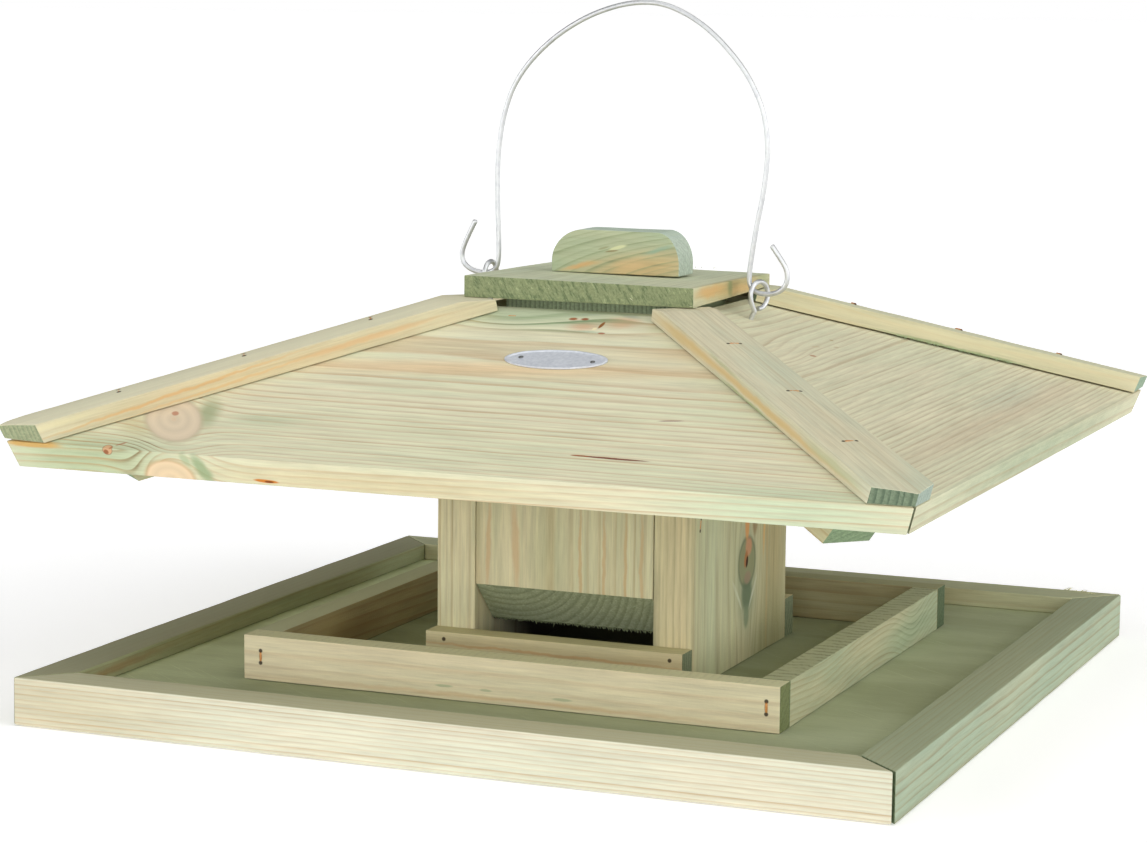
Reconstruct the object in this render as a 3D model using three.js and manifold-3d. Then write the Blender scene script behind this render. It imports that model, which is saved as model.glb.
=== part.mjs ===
// Hanging bird table: a square tray with an inner seed trough, a central seed
// hopper that carries a hipped roof, a loose lid with a handle, and a wire bail
// hooked into two screw eyes.
// Millimetres, +Z up. The origin is on the plane the tray stands on, under the
// centre of the roof; the front (oval plate) faces -Y.

import * as THREE from 'three';
import { mergeVertices } from 'three/addons/utils/BufferGeometryUtils.js';
import Module from 'manifold-3d';

// ---------------------------------------------------------------- dimensions
const FIT = 0.3;              // clearance round a piece let into another

// tray
const TRAY = 400;             // outer side of the tray
const TRAY_AT = [-2.7, -1.0]; // hand-assembled: the tray sits a little off the roof's centre
const RAIL_W = 20.6;
const RAIL_H = 21.5;
const FLOOR_T = 6;            // plywood floor
const FLOOR_TOP = 12.8;
const GROOVE = 6;             // depth of the groove that holds the floor
const OPEN_MITRE = 0.75;      // the front right mitres stand open

// inner trough frame
const TROUGH = 254;
const TROUGH_AT = [-1.5, -0.6];
const TROUGH_T = 13;
const TROUGH_TOP = 33.4;

// hopper
const HOP_W = 125;            // left to right
const HOP_D = 129;            // front to back
const HOP_AT = [1.2, -1.8];
const HOP_T = 19.1;
const BEVEL_Z = 53;           // outer edge of the 45 degree cut at the feed slot
const SLAT_T = 12.5;
const SLAT_TOP = 32.1;

// roof
const EAVE = 203.1;           // half side at the eave's top edge
const EAVE_Z = 125.8;
const PITCH = THREE.MathUtils.degToRad(19.1);
const ROOF_T = 12.1;
const MOUTH = 50;             // half side of the opening at the top
const HIP_W = 28;             // batten over each hip
const HIP_SIDE = 4.6;         // its top arrises above its seat on the hip line
const HIP_CROWN = 6.3;        // its top is slightly crowned
const HIP_LIFT = { front_right: 0.3, front_left: 1.2, back_right: 1.3, back_left: 0.6 };
// where it ends, out from the centre
const HIP_UPPER = { front_right: 48.8, front_left: 46.6, back_right: 45.5, back_left: 46.5 };
const RAFTER_W = 21.5;        // batten under each hip
const RAFTER_H = { front_right: 20, front_left: 16.4, back_right: 18.6, back_left: 20 };
const RAFTER_TOE = 163.6;     // its lower end, on the underside
const RAFTER_CUT = THREE.MathUtils.degToRad(50);
const RAFTER_HEAD = 75;

// lid
const LID_AT = [0.6, 0.1];
const LID_W = 111.5;
const LID_D = 105;
const LID_T = 7.7;
const LID_Z = 183.6;
const LID_DIP = 1.4;          // its underside is lower at the front edge
const LID_TOP = { front_left: 8.8, front_right: 7.7, back_right: 6.2, back_left: 7.3 };
const PLUG = 76;
const PLUG_W = 79;
const PLUG_X = -1.2;
const PLUG_T = 19;
const GRIP_L = 63.7;
const GRIP_D = 19.1;
const GRIP_H = 20.3;
const GRIP_X = -0.3;
const GRIP_Y = 3.5;

// bail and screw eyes
const WIRE = 2.5;
const EYE_WIRE = 2.3;
const EYE_R = 6.2;            // ring, to the middle of the wire
const EYE_TURN = { right: THREE.MathUtils.degToRad(20), left: THREE.MathUtils.degToRad(-4) };
const EYE_LEAN = { right: THREE.MathUtils.degToRad(24), left: THREE.MathUtils.degToRad(24) };
const EYE_RIGHT = [68.5, 1.5, 184.2];
const EYE_LEFT = [-65.6, 1.5, 187.9];
const BAIL_Y = 1.5;

// fasteners
const CROWN = 5.8;            // narrow crown staples
const ST_W = 1.2;
const ST_T = 1.0;
const SCREW_R = 1.75;
const SCREW_HEAD = 3.6;

// oval plate
const OVAL = [47.6, 18.8, 0.6];
const OVAL_AT = [10.5, -99.6];
const OVAL_TURN = THREE.MathUtils.degToRad(2.2);

// ---------------------------------------------------------------- helpers
const wasm = await Module();
wasm.setup();
const TAN = Math.tan(PITCH);
const V = (x, y, z) => new THREE.Vector3(x, y, z);

function solid(geometry, matrix) {
  let g = geometry.clone();
  if (matrix) g.applyMatrix4(matrix);
  g.deleteAttribute('normal');
  g.deleteAttribute('uv');
  g = mergeVertices(g, 1e-4);
  return new wasm.Manifold(new wasm.Mesh({
    numProp: 3,
    vertProperties: Float32Array.from(g.attributes.position.array),
    triVerts: Uint32Array.from(g.index.array),
  }));
}

function geometryOf(manifold) {
  const m = manifold.getMesh();
  const g = new THREE.BufferGeometry();
  const pos = new Float32Array(m.numVert * 3);
  for (let i = 0; i < m.numVert; i++) {
    for (let k = 0; k < 3; k++) pos[3 * i + k] = m.vertProperties[i * m.numProp + k];
  }
  g.setAttribute('position', new THREE.BufferAttribute(pos, 3));
  g.setIndex(new THREE.BufferAttribute(Uint32Array.from(m.triVerts), 1));
  g.computeVertexNormals();
  return g;
}

const WOODS = {
  rail: 0xd2cba6, floor: 0x9aa184, board: 0xc9bf98, roof: 0xd6cfa4, lid: 0xa9b08c,
};
const materials = {};
for (const [name, color] of Object.entries(WOODS)) {
  materials[name] = () => new THREE.MeshStandardMaterial({ color, roughness: 0.85, metalness: 0 });
}
materials.wire = () => new THREE.MeshStandardMaterial({ color: 0xc9cccb, roughness: 0.35, metalness: 1 });
materials.staple = () => new THREE.MeshStandardMaterial({ color: 0xa98a55, roughness: 0.45, metalness: 1 });
materials.screw = () => new THREE.MeshStandardMaterial({ color: 0xb9a15c, roughness: 0.4, metalness: 1 });
materials.plate = () => new THREE.MeshStandardMaterial({ color: 0xcdd2d8, roughness: 0.3, metalness: 1 });

function add(parent, name, geometry, material) {
  const mesh = new THREE.Mesh(geometry, materials[material]());
  mesh.name = name;
  parent.add(mesh);
  return mesh;
}

const box = (w, d, h) => new THREE.BoxGeometry(w, d, h);
const moved = (g, x, y, z) => g.clone().translate(x, y, z);

// everything beyond a plane is taken off
function trim(body, point, normal) {
  const n = normal.clone().normalize();
  const q = new THREE.Quaternion().setFromUnitVectors(V(0, 0, 1), n);
  const at = point.clone().addScaledVector(n, 300);
  const m = new THREE.Matrix4().compose(at, q, V(1, 1, 1));
  return body.subtract(solid(box(1200, 1200, 600), m));
}

// a length of moulding with mitred ends: profile points are [inset, height],
// half is the distance from the centre to the outer face
function mitred(profile, half, gapLeft, gapRight) {
  const g = new THREE.ExtrudeGeometry(
    new THREE.Shape(profile.map(([u, z]) => new THREE.Vector2(u, z))),
    { depth: 1, bevelEnabled: false });
  const p = g.attributes.position;
  for (let i = 0; i < p.count; i++) {
    const r = half - p.getX(i);
    const z = p.getY(i);
    const x = p.getZ(i) < 0.5 ? -r + gapLeft : r - gapRight;
    p.setXYZ(i, x, -r, z);
  }
  g.computeVertexNormals();
  return g;
}

// staple: crown along local X, legs along -Y, flat wire along Z
function stapleGeometry(leg, grow = 0, rise = 0) {
  const a = CROWN / 2 + grow;
  const w = ST_T + 2 * grow;
  const s = new THREE.Shape();
  s.moveTo(-a, rise);
  s.lineTo(-a, -leg - 2 * grow);
  s.lineTo(-a + w, -leg - 2 * grow);
  s.lineTo(-a + w, -ST_T - grow);
  s.lineTo(a - w, -ST_T - grow);
  s.lineTo(a - w, -leg - 2 * grow);
  s.lineTo(a, -leg - 2 * grow);
  s.lineTo(a, rise);
  const t = ST_W + 2 * grow;
  return new THREE.ExtrudeGeometry(s, { depth: t, bevelEnabled: false }).translate(0, 0, -t / 2);
}

function stapleMatrix(at, crown, out) {
  const x = crown.clone().normalize();
  const y = out.clone().normalize();
  const z = new THREE.Vector3().crossVectors(x, y);
  return new THREE.Matrix4().makeBasis(x, y, z).setPosition(at);
}

// countersunk screw, head at the origin, pointing along +Z
function screwGeometry(length, grow = 0, drop = 0) {
  const r = SCREW_R + grow;
  const h = SCREW_HEAD + grow;
  const pts = [
    [0, -drop], [h, -drop], [h, 0.4], [r, 0.4 + SCREW_HEAD - SCREW_R],
    [r, length - 4 + grow], [0, length + 2 * grow],
  ].map(([x, y]) => new THREE.Vector2(x, y));
  return new THREE.LatheGeometry(pts, 16).rotateX(Math.PI / 2);
}

function screwSolid(length) {
  const recess = solid(moved(box(3.6, 0.9, 2.4), 0, 0, 0)).add(solid(box(0.9, 3.6, 2.4)));
  return solid(screwGeometry(length)).subtract(recess);
}

const group = new THREE.Group();

// ---------------------------------------------------------------- tray
const tray = new THREE.Group();
tray.position.set(TRAY_AT[0], TRAY_AT[1], 0);
group.add(tray);

const hopperX = HOP_W / 2 - HOP_T / 2;
const floorScrews = [];
for (const sx of [-1, 1]) for (const sy of [-1, 1]) {
  floorScrews.push([HOP_AT[0] + sx * hopperX, HOP_AT[1] + sy * 38, FLOOR_TOP - FLOOR_T]);
}
const SCREW_L = 32;

{
  const side = TRAY - 2 * (RAIL_W - GROOVE) - 0.6;
  let panel = solid(moved(box(side, side, FLOOR_T), 0, 0, FLOOR_TOP - FLOOR_T / 2));
  for (const [x, y, z] of floorScrews) {
    panel = panel.subtract(solid(moved(screwGeometry(SCREW_L, FIT, 2), x - TRAY_AT[0], y - TRAY_AT[1], z)));
  }
  add(tray, 'tray_floor', geometryOf(panel), 'floor');

  const g0 = FLOOR_TOP - FLOOR_T - 0.1;
  const g1 = FLOOR_TOP + 0.1;
  const profile = [
    [0, 0], [RAIL_W, 0], [RAIL_W, g0], [RAIL_W - GROOVE, g0],
    [RAIL_W - GROOVE, g1], [RAIL_W, g1], [RAIL_W, RAIL_H], [0, RAIL_H],
  ];
  const g = 0.2;
  const rails = [
    ['tray_rail_front', 0, g, OPEN_MITRE], ['tray_rail_right', 1, OPEN_MITRE, g],
    ['tray_rail_back', 2, g, g], ['tray_rail_left', 3, g, g],
  ];
  for (const [name, quarter, a, b] of rails) {
    const mesh = add(tray, name, mitred(profile, TRAY / 2, a, b), 'rail');
    mesh.rotation.z = quarter * Math.PI / 2;
  }
}

// ---------------------------------------------------------------- seed trough
const trough = new THREE.Group();
trough.position.set(TROUGH_AT[0], TROUGH_AT[1], 0);
group.add(trough);
{
  const z0 = FLOOR_TOP + 0.1;
  const h = TROUGH_TOP - z0;
  const zc = z0 + h / 2;
  const half = TROUGH / 2;
  const leg = 25;
  const bodies = {
    trough_rail_front: solid(moved(box(TROUGH, TROUGH_T, h), 0, -half + TROUGH_T / 2, zc)),
    trough_rail_back: solid(moved(box(TROUGH, TROUGH_T, h), 0, half - TROUGH_T / 2, zc)),
    trough_rail_left: solid(moved(box(TROUGH_T, TROUGH - 2 * TROUGH_T - 0.4, h), -half + TROUGH_T / 2, 0, zc)),
    trough_rail_right: solid(moved(box(TROUGH_T, TROUGH - 2 * TROUGH_T - 0.4, h), half - TROUGH_T / 2, 0, zc)),
  };
  const staples = [];
  for (const [end, sy] of [['front', -1], ['back', 1]]) {
    for (const [hand, i] of [['left', 0], ['right', 1]]) {
      const x = sy < 0 ? (i ? half - 6.3 : -half + 8.6) : (i ? half - 6.6 : -half + 6.2);
      const m = stapleMatrix(V(x, sy * (half - 0.4), 23.7), V(0, 0, 1), V(0, sy, 0));
      staples.push([`trough_staple_${end}_${hand}`, m]);
      const pocket = solid(stapleGeometry(leg, FIT, 2), m);
      bodies[`trough_rail_${end}`] = bodies[`trough_rail_${end}`].subtract(pocket);
      bodies[`trough_rail_${hand}`] = bodies[`trough_rail_${hand}`].subtract(pocket);
    }
  }
  for (const [name, b] of Object.entries(bodies)) add(trough, name, geometryOf(b), 'rail');
  for (const [name, m] of staples) {
    const mesh = add(trough, name, stapleGeometry(leg), 'staple');
    mesh.applyMatrix4(m);
  }
}

// ---------------------------------------------------------------- screw eyes
// path of one eye: threaded stem, neck, then a ring that ends short of the neck
function eyePoints(centre, side) {
  const c = V(...centre);
  const hand = side > 0 ? 'right' : 'left';
  const e = V(side * Math.sin(EYE_TURN[hand]), Math.cos(EYE_TURN[hand]), 0);
  const ring = (s, t) => c.clone().addScaledVector(e, s).add(V(0, 0, t));
  const down = V(-side * Math.sin(EYE_LEAN[hand]), 0, -Math.cos(EYE_LEAN[hand]));
  const neck = ring(-3.35, -7.3);
  // where the stem meets the roof's surface
  const surface = (x) => EAVE_Z + (EAVE - Math.abs(x)) * TAN;
  let t = 0;
  while (neck.z + down.z * t > surface(neck.x + down.x * t)) t += 0.05;
  const foot = neck.clone().addScaledVector(down, t);
  const tip = foot.clone().addScaledVector(down, 30);
  const pts = [tip];
  for (let k = 1; k < 5; k++) pts.push(tip.clone().lerp(foot, k / 5));
  pts.push(foot, neck.clone().lerp(foot, 0.4), neck, ring(-4.0, -5.9), ring(-5.25, -3.7));
  for (let a = 196; a >= -98; a -= 24.5) {
    const r = THREE.MathUtils.degToRad(a);
    pts.push(ring(EYE_R * Math.cos(r), EYE_R * Math.sin(r)));
  }
  return { pts, foot, tip, down };
}
const eyeRight = eyePoints(EYE_RIGHT, 1);
const eyeLeft = eyePoints(EYE_LEFT, -1);

function wireGeometry(points, radius, sides, steps) {
  const section = new THREE.Shape();
  for (let k = 0; k < sides; k++) {
    const a = 2 * Math.PI * k / sides;
    const x = radius * Math.cos(a), y = radius * Math.sin(a);
    if (k === 0) section.moveTo(x, y); else section.lineTo(x, y);
  }
  const path = new THREE.CatmullRomCurve3(points, false, 'centripetal');
  return new THREE.ExtrudeGeometry(section, { steps, bevelEnabled: false, extrudePath: path });
}

// the hole an eye is screwed into
function eyeHole(eye) {
  const from = eye.foot.clone().addScaledVector(eye.down, -6);
  const to = eye.tip.clone().addScaledVector(eye.down, 1);
  const length = from.distanceTo(to);
  const q = new THREE.Quaternion().setFromUnitVectors(V(0, 1, 0), eye.down);
  const m = new THREE.Matrix4().compose(from.lerp(to, 0.5), q, V(1, 1, 1));
  return solid(new THREE.CylinderGeometry(EYE_WIRE / 2 + FIT + 0.1, EYE_WIRE / 2 + FIT + 0.1, length, 14), m);
}

// ---------------------------------------------------------------- hopper
const roofUnder = (r) => EAVE_Z + (EAVE - r) * TAN - ROOF_T / Math.cos(PITCH);
{
  const hopper = new THREE.Group();
  hopper.position.set(HOP_AT[0], HOP_AT[1], 0);
  group.add(hopper);
  const toLocal = new THREE.Matrix4().makeTranslation(-HOP_AT[0], -HOP_AT[1], 0);

  // the space under the roof's underside: a square pyramid, its point cut off
  const topR = 20;
  const z1 = roofUnder(topR) - FIT;
  const botR = EAVE;
  const z0 = roofUnder(botR) - FIT;
  const m = new THREE.Matrix4().makeRotationX(Math.PI / 2);
  const turn = new THREE.Matrix4().makeRotationZ(Math.PI / 4);
  const up = new THREE.Matrix4().makeTranslation(0, 0, (z0 + z1) / 2);
  const place = toLocal.clone().multiply(up).multiply(turn).multiply(m);
  const pyramid = solid(new THREE.CylinderGeometry(topR * Math.SQRT2, botR * Math.SQRT2, z1 - z0, 4, 1), place);
  const foot = solid(moved(box(400, 400, z0 + 0.01), -HOP_AT[0], -HOP_AT[1], (z0 + 0.01) / 2));
  const under = pyramid.add(foot);

  const z = FLOOR_TOP + 0.1;
  const H = 190 - z;
  const leg = 25;
  const bodies = {};
  for (const [name, sx] of [['hopper_side_left', -1], ['hopper_side_right', 1]]) {
    let b = solid(moved(box(HOP_T, HOP_D, H), sx * hopperX, 0, z + H / 2)).intersect(under);
    for (const [x, y, zz] of floorScrews) {
      b = b.subtract(solid(moved(screwGeometry(SCREW_L, FIT, 2), x - HOP_AT[0], y - HOP_AT[1], zz)));
    }
    const eye = sx > 0 ? eyeRight : eyeLeft;
    const hole = eyeHole(eye).transform(toLocal.elements);
    bodies[name] = b.subtract(hole);
  }
  for (const [name, sy] of [['hopper_front', -1], ['hopper_back', 1]]) {
    const inner = HOP_D / 2 - HOP_T;
    const s = new THREE.Shape([
      new THREE.Vector2(sy * HOP_D / 2, BEVEL_Z), new THREE.Vector2(sy * inner, BEVEL_Z - HOP_T),
      new THREE.Vector2(sy * inner, 190), new THREE.Vector2(sy * HOP_D / 2, 190),
    ]);
    const w = HOP_W - 2 * HOP_T - 0.4;
    const g = new THREE.ExtrudeGeometry(s, { depth: w, bevelEnabled: false });
    // profile (y, z) to world, extruded along X
    const mm = new THREE.Matrix4().makeBasis(V(0, 1, 0), V(0, 0, 1), V(1, 0, 0)).setPosition(-w / 2, 0, 0);
    bodies[name] = solid(g, mm).intersect(under);
  }
  const staples = [];
  for (const [end, sy] of [['front', -1], ['back', 1]]) {
    const y = sy * (HOP_D / 2 + 0.2 + SLAT_T / 2);
    let b = solid(moved(box(HOP_W, SLAT_T, SLAT_TOP - z), 0, y, (SLAT_TOP + z) / 2));
    for (const [hand, sx, x] of [['left', -1, -52.1], ['right', 1, 55.2]]) {
      const at = V(x, sy * (HOP_D / 2 + 0.2 + SLAT_T - 0.4), 26.2);
      const lean = V(0.45 * sx, 0, 1);
      const mm = stapleMatrix(at, lean, V(0, sy, 0));
      staples.push([`slat_staple_${end}_${hand}`, mm]);
      const pocket = solid(stapleGeometry(leg, FIT, 2), mm);
      b = b.subtract(pocket);
      const side = `hopper_side_${hand}`;
      bodies[side] = bodies[side].subtract(pocket);
    }
    bodies[`seed_slat_${end}`] = b;
  }
  for (const [name, b] of Object.entries(bodies)) add(hopper, name, geometryOf(b), 'board');
  for (const [name, mm] of staples) add(hopper, name, stapleGeometry(leg), 'staple').applyMatrix4(mm);
}
floorScrews.forEach(([x, y, z], i) => {
  const name = `floor_screw_${['front_left', 'back_left', 'front_right', 'back_right'][i]}`;
  add(group, name, geometryOf(screwSolid(SCREW_L)), 'screw').position.set(x, y, z);
});

// ---------------------------------------------------------------- roof
const roof = new THREE.Group();
group.add(roof);
const gamma = Math.atan(TAN / Math.SQRT2);           // slope along a hip
const corners = { front_right: [1, -1], front_left: [-1, -1], back_right: [1, 1], back_left: [-1, 1] };
function hip([sx, sy]) {
  const n = V(sx * Math.sin(gamma) / Math.SQRT2, sy * Math.sin(gamma) / Math.SQRT2, Math.cos(gamma));
  const along = V(sx * Math.cos(gamma) / Math.SQRT2, sy * Math.cos(gamma) / Math.SQRT2, -Math.sin(gamma));
  const across = new THREE.Vector3().crossVectors(n, along);
  const at = (c) => V(sx * c, sy * c, EAVE_Z + (EAVE - c) * TAN);
  return { sx, sy, n, along, across, at };
}
const hipRun = (c) => c * Math.SQRT2 / Math.cos(gamma);   // length along the hip for a step in plan

const hipStaples = {
  front_right: [[87.5, 8], [127.2, 8, 0.8], [165.7, 8, -1.6]],
  front_left: [[84.6, 18], [126.4, 15], [166.6, 12]],
  back_right: [[85.8, 5], [126.9, -8], [167.3, 3]],
  back_left: [[88, -6], [127, 8], [167, -4]],
};
const HIP_LEG = 26;
const HIP_SUNK = { front_right: -0.4, front_left: -0.4, back_right: 0.6, back_left: -0.4 };
const staples = [];
for (const [corner, list] of Object.entries(hipStaples)) {
  const h = hip(corners[corner]);
  list.forEach(([c, skew, aside = 0], i) => {
    const a = THREE.MathUtils.degToRad(skew);
    const crown = h.across.clone().multiplyScalar(Math.cos(a)).addScaledVector(h.along, Math.sin(a));
    const at = h.at(c).addScaledVector(h.n, HIP_LIFT[corner] + HIP_CROWN + HIP_SUNK[corner]).addScaledVector(h.across, aside);
    staples.push({ name: `hip_staple_${corner}_${i + 1}`, corner, m: stapleMatrix(at, crown, h.n) });
  });
}
const pocketOf = (s) => solid(stapleGeometry(HIP_LEG, FIT, 2), s.m);

{
  // panels
  const cos = Math.cos(PITCH), sin = Math.sin(PITCH);
  const top = EAVE_Z + (EAVE - MOUTH) * TAN;
  const profile = [
    [0, EAVE_Z], [EAVE - MOUTH, top], [EAVE - MOUTH, top - ROOF_T / cos], [ROOF_T * sin, EAVE_Z - ROOF_T * cos],
  ];
  const g = 0.2;
  const panels = [
    ['roof_panel_front', 0, g, 0.2, ['front_left', 'front_right']],
    ['roof_panel_right', 1, 1.6, g, ['front_right', 'back_right']],
    ['roof_panel_back', 2, g, g, ['back_right', 'back_left']],
    ['roof_panel_left', 3, g, g, ['back_left', 'front_left']],
  ];
  for (const [name, quarter, a, b, ends] of panels) {
    const turn = new THREE.Matrix4().makeRotationZ(quarter * Math.PI / 2);
    let body = solid(mitred(profile, EAVE, a, b), turn);
    for (const s of staples) if (ends.includes(s.corner)) body = body.subtract(pocketOf(s));
    if (name === 'roof_panel_right') body = body.subtract(eyeHole(eyeRight));
    if (name === 'roof_panel_left') body = body.subtract(eyeHole(eyeLeft));
    add(roof, name, geometryOf(body), 'roof');
  }

  // battens over and under the hips
  const fall = TAN / Math.SQRT2 * Math.cos(gamma);      // drop of the surface per mm across, square to the hip
  for (const [corner, signs] of Object.entries(corners)) {
    const h = hip(signs);
    const toWorld = (c) => new THREE.Matrix4().makeBasis(h.across, h.n, h.along).setPosition(h.at(c));
    const w = HIP_W / 2;
    const z = HIP_LIFT[corner];
    const cap = new THREE.Shape([
      new THREE.Vector2(0, z + HIP_CROWN), new THREE.Vector2(-w, z + HIP_SIDE), new THREE.Vector2(-w, z - fall * w),
      new THREE.Vector2(0, z), new THREE.Vector2(w, z - fall * w), new THREE.Vector2(w, z + HIP_SIDE),
    ]);
    let over = solid(new THREE.ExtrudeGeometry(cap, { depth: hipRun(EAVE + 20 - HIP_UPPER[corner]), bevelEnabled: false }),
      toWorld(HIP_UPPER[corner]));
    over = trim(over, V(h.sx * EAVE, 0, EAVE_Z), V(h.sx * cos, 0, -sin));
    over = trim(over, V(0, h.sy * EAVE, EAVE_Z), V(0, h.sy * cos, -sin));
    // planed down where the lid rests
    over = trim(over, V(0, LID_AT[1] + LID_D / 2, LID_Z - FIT), V(0, -LID_DIP / LID_D, 1).normalize());

    const r = RAFTER_W / 2;
    const head = -ROOF_T * Math.cos(gamma) / cos - fall * r - FIT;
    const sole = head - RAFTER_H[corner];
    const bar = new THREE.Shape([
      new THREE.Vector2(-r, head), new THREE.Vector2(-r, sole), new THREE.Vector2(r, sole), new THREE.Vector2(r, head),
    ]);
    let under = solid(new THREE.ExtrudeGeometry(bar, { depth: hipRun(EAVE - 60), bevelEnabled: false }), toWorld(60));
    const out = V(h.sx, h.sy, 0).normalize();
    under = trim(under, out.clone().multiplyScalar(RAFTER_HEAD * Math.SQRT2), out.clone().negate());
    // lower end: undercut, its bottom edge at RAFTER_TOE
    const toe = h.at(RAFTER_TOE).addScaledVector(h.n, sole);
    toe.addScaledVector(h.along, -sole * Math.tan(gamma));
    const face = out.clone().multiplyScalar(Math.cos(RAFTER_CUT)).add(V(0, 0, -Math.sin(RAFTER_CUT)));
    under = trim(under, toe, face);

    for (const s of staples) if (s.corner === corner) {
      over = over.subtract(pocketOf(s));
      under = under.subtract(pocketOf(s));
    }
    add(roof, `hip_batten_${corner}`, geometryOf(over), 'roof');
    add(roof, `hip_rafter_${corner}`, geometryOf(under), 'board');
  }
  for (const s of staples) add(roof, s.name, stapleGeometry(HIP_LEG), 'staple').applyMatrix4(s.m);

  // oval plate on the front panel
  const oval = new THREE.Shape();
  oval.absellipse(0, 0, OVAL[0] / 2, OVAL[1] / 2, 0, 2 * Math.PI, false, 0);
  const plate = new THREE.ExtrudeGeometry(oval, { depth: OVAL[2], bevelEnabled: false, curveSegments: 20 });
  const mesh = add(roof, 'oval_plate', plate, 'plate');
  const z = EAVE_Z + (EAVE + OVAL_AT[1]) * TAN;
  const tilt = new THREE.Matrix4().makeRotationX(PITCH);
  const spin = new THREE.Matrix4().makeRotationZ(OVAL_TURN);
  const lift = V(0, -Math.sin(PITCH), Math.cos(PITCH)).multiplyScalar(0.15);
  mesh.applyMatrix4(new THREE.Matrix4().makeTranslation(OVAL_AT[0] + lift.x, OVAL_AT[1] + lift.y, z + lift.z)
    .multiply(tilt).multiply(spin));
}

// screw eyes
add(roof, 'screw_eye_right', wireGeometry(eyeRight.pts, EYE_WIRE / 2, 10, 64), 'wire');
add(roof, 'screw_eye_left', wireGeometry(eyeLeft.pts, EYE_WIRE / 2, 10, 64), 'wire');

// ---------------------------------------------------------------- lid
{
  const lid = new THREE.Group();
  lid.position.set(LID_AT[0], LID_AT[1], LID_Z);
  group.add(lid);
  const spots = [-17, 19];
  const L = 40;
  const hull = (lift) => {
    const pts = [];
    for (const [corner, [sx, sy]] of Object.entries(corners)) {
      pts.push([sx * LID_W / 2, sy * LID_D / 2, (sy < 0 ? -LID_DIP : 0) + lift]);
      pts.push([sx * LID_W / 2, sy * LID_D / 2, LID_TOP[corner] + lift]);
    }
    return wasm.Manifold.hull(pts);
  };
  let board = hull(0);
  let plug = solid(moved(box(PLUG_W, PLUG, PLUG_T + 0.2), PLUG_X, 0, -PLUG_T / 2 + 0.1)).subtract(hull(-0.05));
  // handle: end arcs drawn as quarter ellipses
  const s = new THREE.Shape();
  const a = GRIP_L / 2;
  s.moveTo(-a, 0);
  s.lineTo(-a, GRIP_H - 15.5);
  s.absellipse(-a + 16.3, GRIP_H - 15.5, 16.3, 15.5, Math.PI, Math.PI / 2, true, 0);
  s.lineTo(a - 11.5, GRIP_H);
  s.absellipse(a - 11.5, GRIP_H - 15.5, 11.5, 15.5, Math.PI / 2, 0, true, 0);
  s.lineTo(a, 0);
  const m = new THREE.Matrix4().makeBasis(V(1, 0, 0), V(0, 0, 1), V(0, -1, 0))
    .setPosition(GRIP_X, GRIP_Y + GRIP_D / 2, LID_T + 0.1);
  let grip = solid(new THREE.ExtrudeGeometry(s, { depth: GRIP_D, bevelEnabled: false, curveSegments: 10 }), m).subtract(hull(0.1));
  for (const x of spots) {
    const hole = solid(moved(screwGeometry(L, FIT, 2), x, GRIP_Y, -PLUG_T - 0.05));
    board = board.subtract(hole);
    plug = plug.subtract(hole);
    grip = grip.subtract(hole);
  }
  add(lid, 'lid_board', geometryOf(board), 'lid');
  add(lid, 'lid_plug', geometryOf(plug), 'board');
  add(lid, 'lid_handle', geometryOf(grip), 'lid');
  spots.forEach((x, i) => {
    add(lid, `handle_screw_${i ? 'right' : 'left'}`, geometryOf(screwSolid(L)), 'screw')
      .position.set(x, GRIP_Y, -PLUG_T - 0.05);
  });
}

// ---------------------------------------------------------------- bail
// one bent wire in the X-Z plane: hook, leg, arch, leg, hook
const BAIL = [
  [-73.5, 213.3], [-76.6, 207.3], [-79.2, 201.7], [-80.4, 197.3], [-79.6, 193.3], [-76.4, 190.4],
  [-72.0, 189.0], [-68.0, 188.8], [-64.7, 189.7], [-62.4, 192.1], [-61.5, 196.9], [-61.5, 204.2],
  [-62.2, 221.3], [-62.3, 238.4], [-61.4, 250.4], [-59.2, 262.9], [-54.6, 275.9], [-46.4, 287.9],
  [-33.8, 299.5], [-19.0, 308.5], [-4.2, 314.0], [8.6, 316.1], [19.6, 315.3], [30.0, 311.5],
  [41.0, 304.8], [51.7, 295.1], [61.2, 283.3], [68.2, 269.2], [71.0, 255.4], [71.0, 243.4],
  [69.3, 229.2], [66.6, 214.8], [64.4, 200.3], [63.6, 192.5], [64.2, 188.5], [66.3, 186.0],
  [69.7, 185.0], [74.0, 185.0], [78.0, 186.3], [80.8, 189.0], [81.9, 192.9], [81.0, 197.1],
  [77.8, 202.1], [74.0, 207.3],
];
add(group, 'bail_wire', wireGeometry(BAIL.map(([x, z]) => V(x, BAIL_Y, z)), WIRE / 2, 10, 150), 'wire');

export default group;
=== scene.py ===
import math
import random

import bmesh
import bpy
from mathutils import Matrix, Vector, noise


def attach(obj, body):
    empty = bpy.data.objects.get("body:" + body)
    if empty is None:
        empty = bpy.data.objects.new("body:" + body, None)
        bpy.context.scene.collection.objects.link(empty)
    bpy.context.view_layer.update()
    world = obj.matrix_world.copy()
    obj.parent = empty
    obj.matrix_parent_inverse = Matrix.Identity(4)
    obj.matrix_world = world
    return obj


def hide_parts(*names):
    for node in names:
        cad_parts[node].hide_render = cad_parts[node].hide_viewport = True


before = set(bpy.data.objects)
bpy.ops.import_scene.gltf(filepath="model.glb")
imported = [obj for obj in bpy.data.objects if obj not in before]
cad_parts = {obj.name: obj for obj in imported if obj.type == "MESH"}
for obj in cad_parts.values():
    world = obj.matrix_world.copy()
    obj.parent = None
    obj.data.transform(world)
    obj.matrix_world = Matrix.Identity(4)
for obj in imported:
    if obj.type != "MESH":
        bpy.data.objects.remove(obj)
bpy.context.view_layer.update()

random.seed(7)
MM = 0.001
PITCH = math.radians(19.1)
TAN, COS, SIN = math.tan(PITCH), math.cos(PITCH), math.sin(PITCH)
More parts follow.
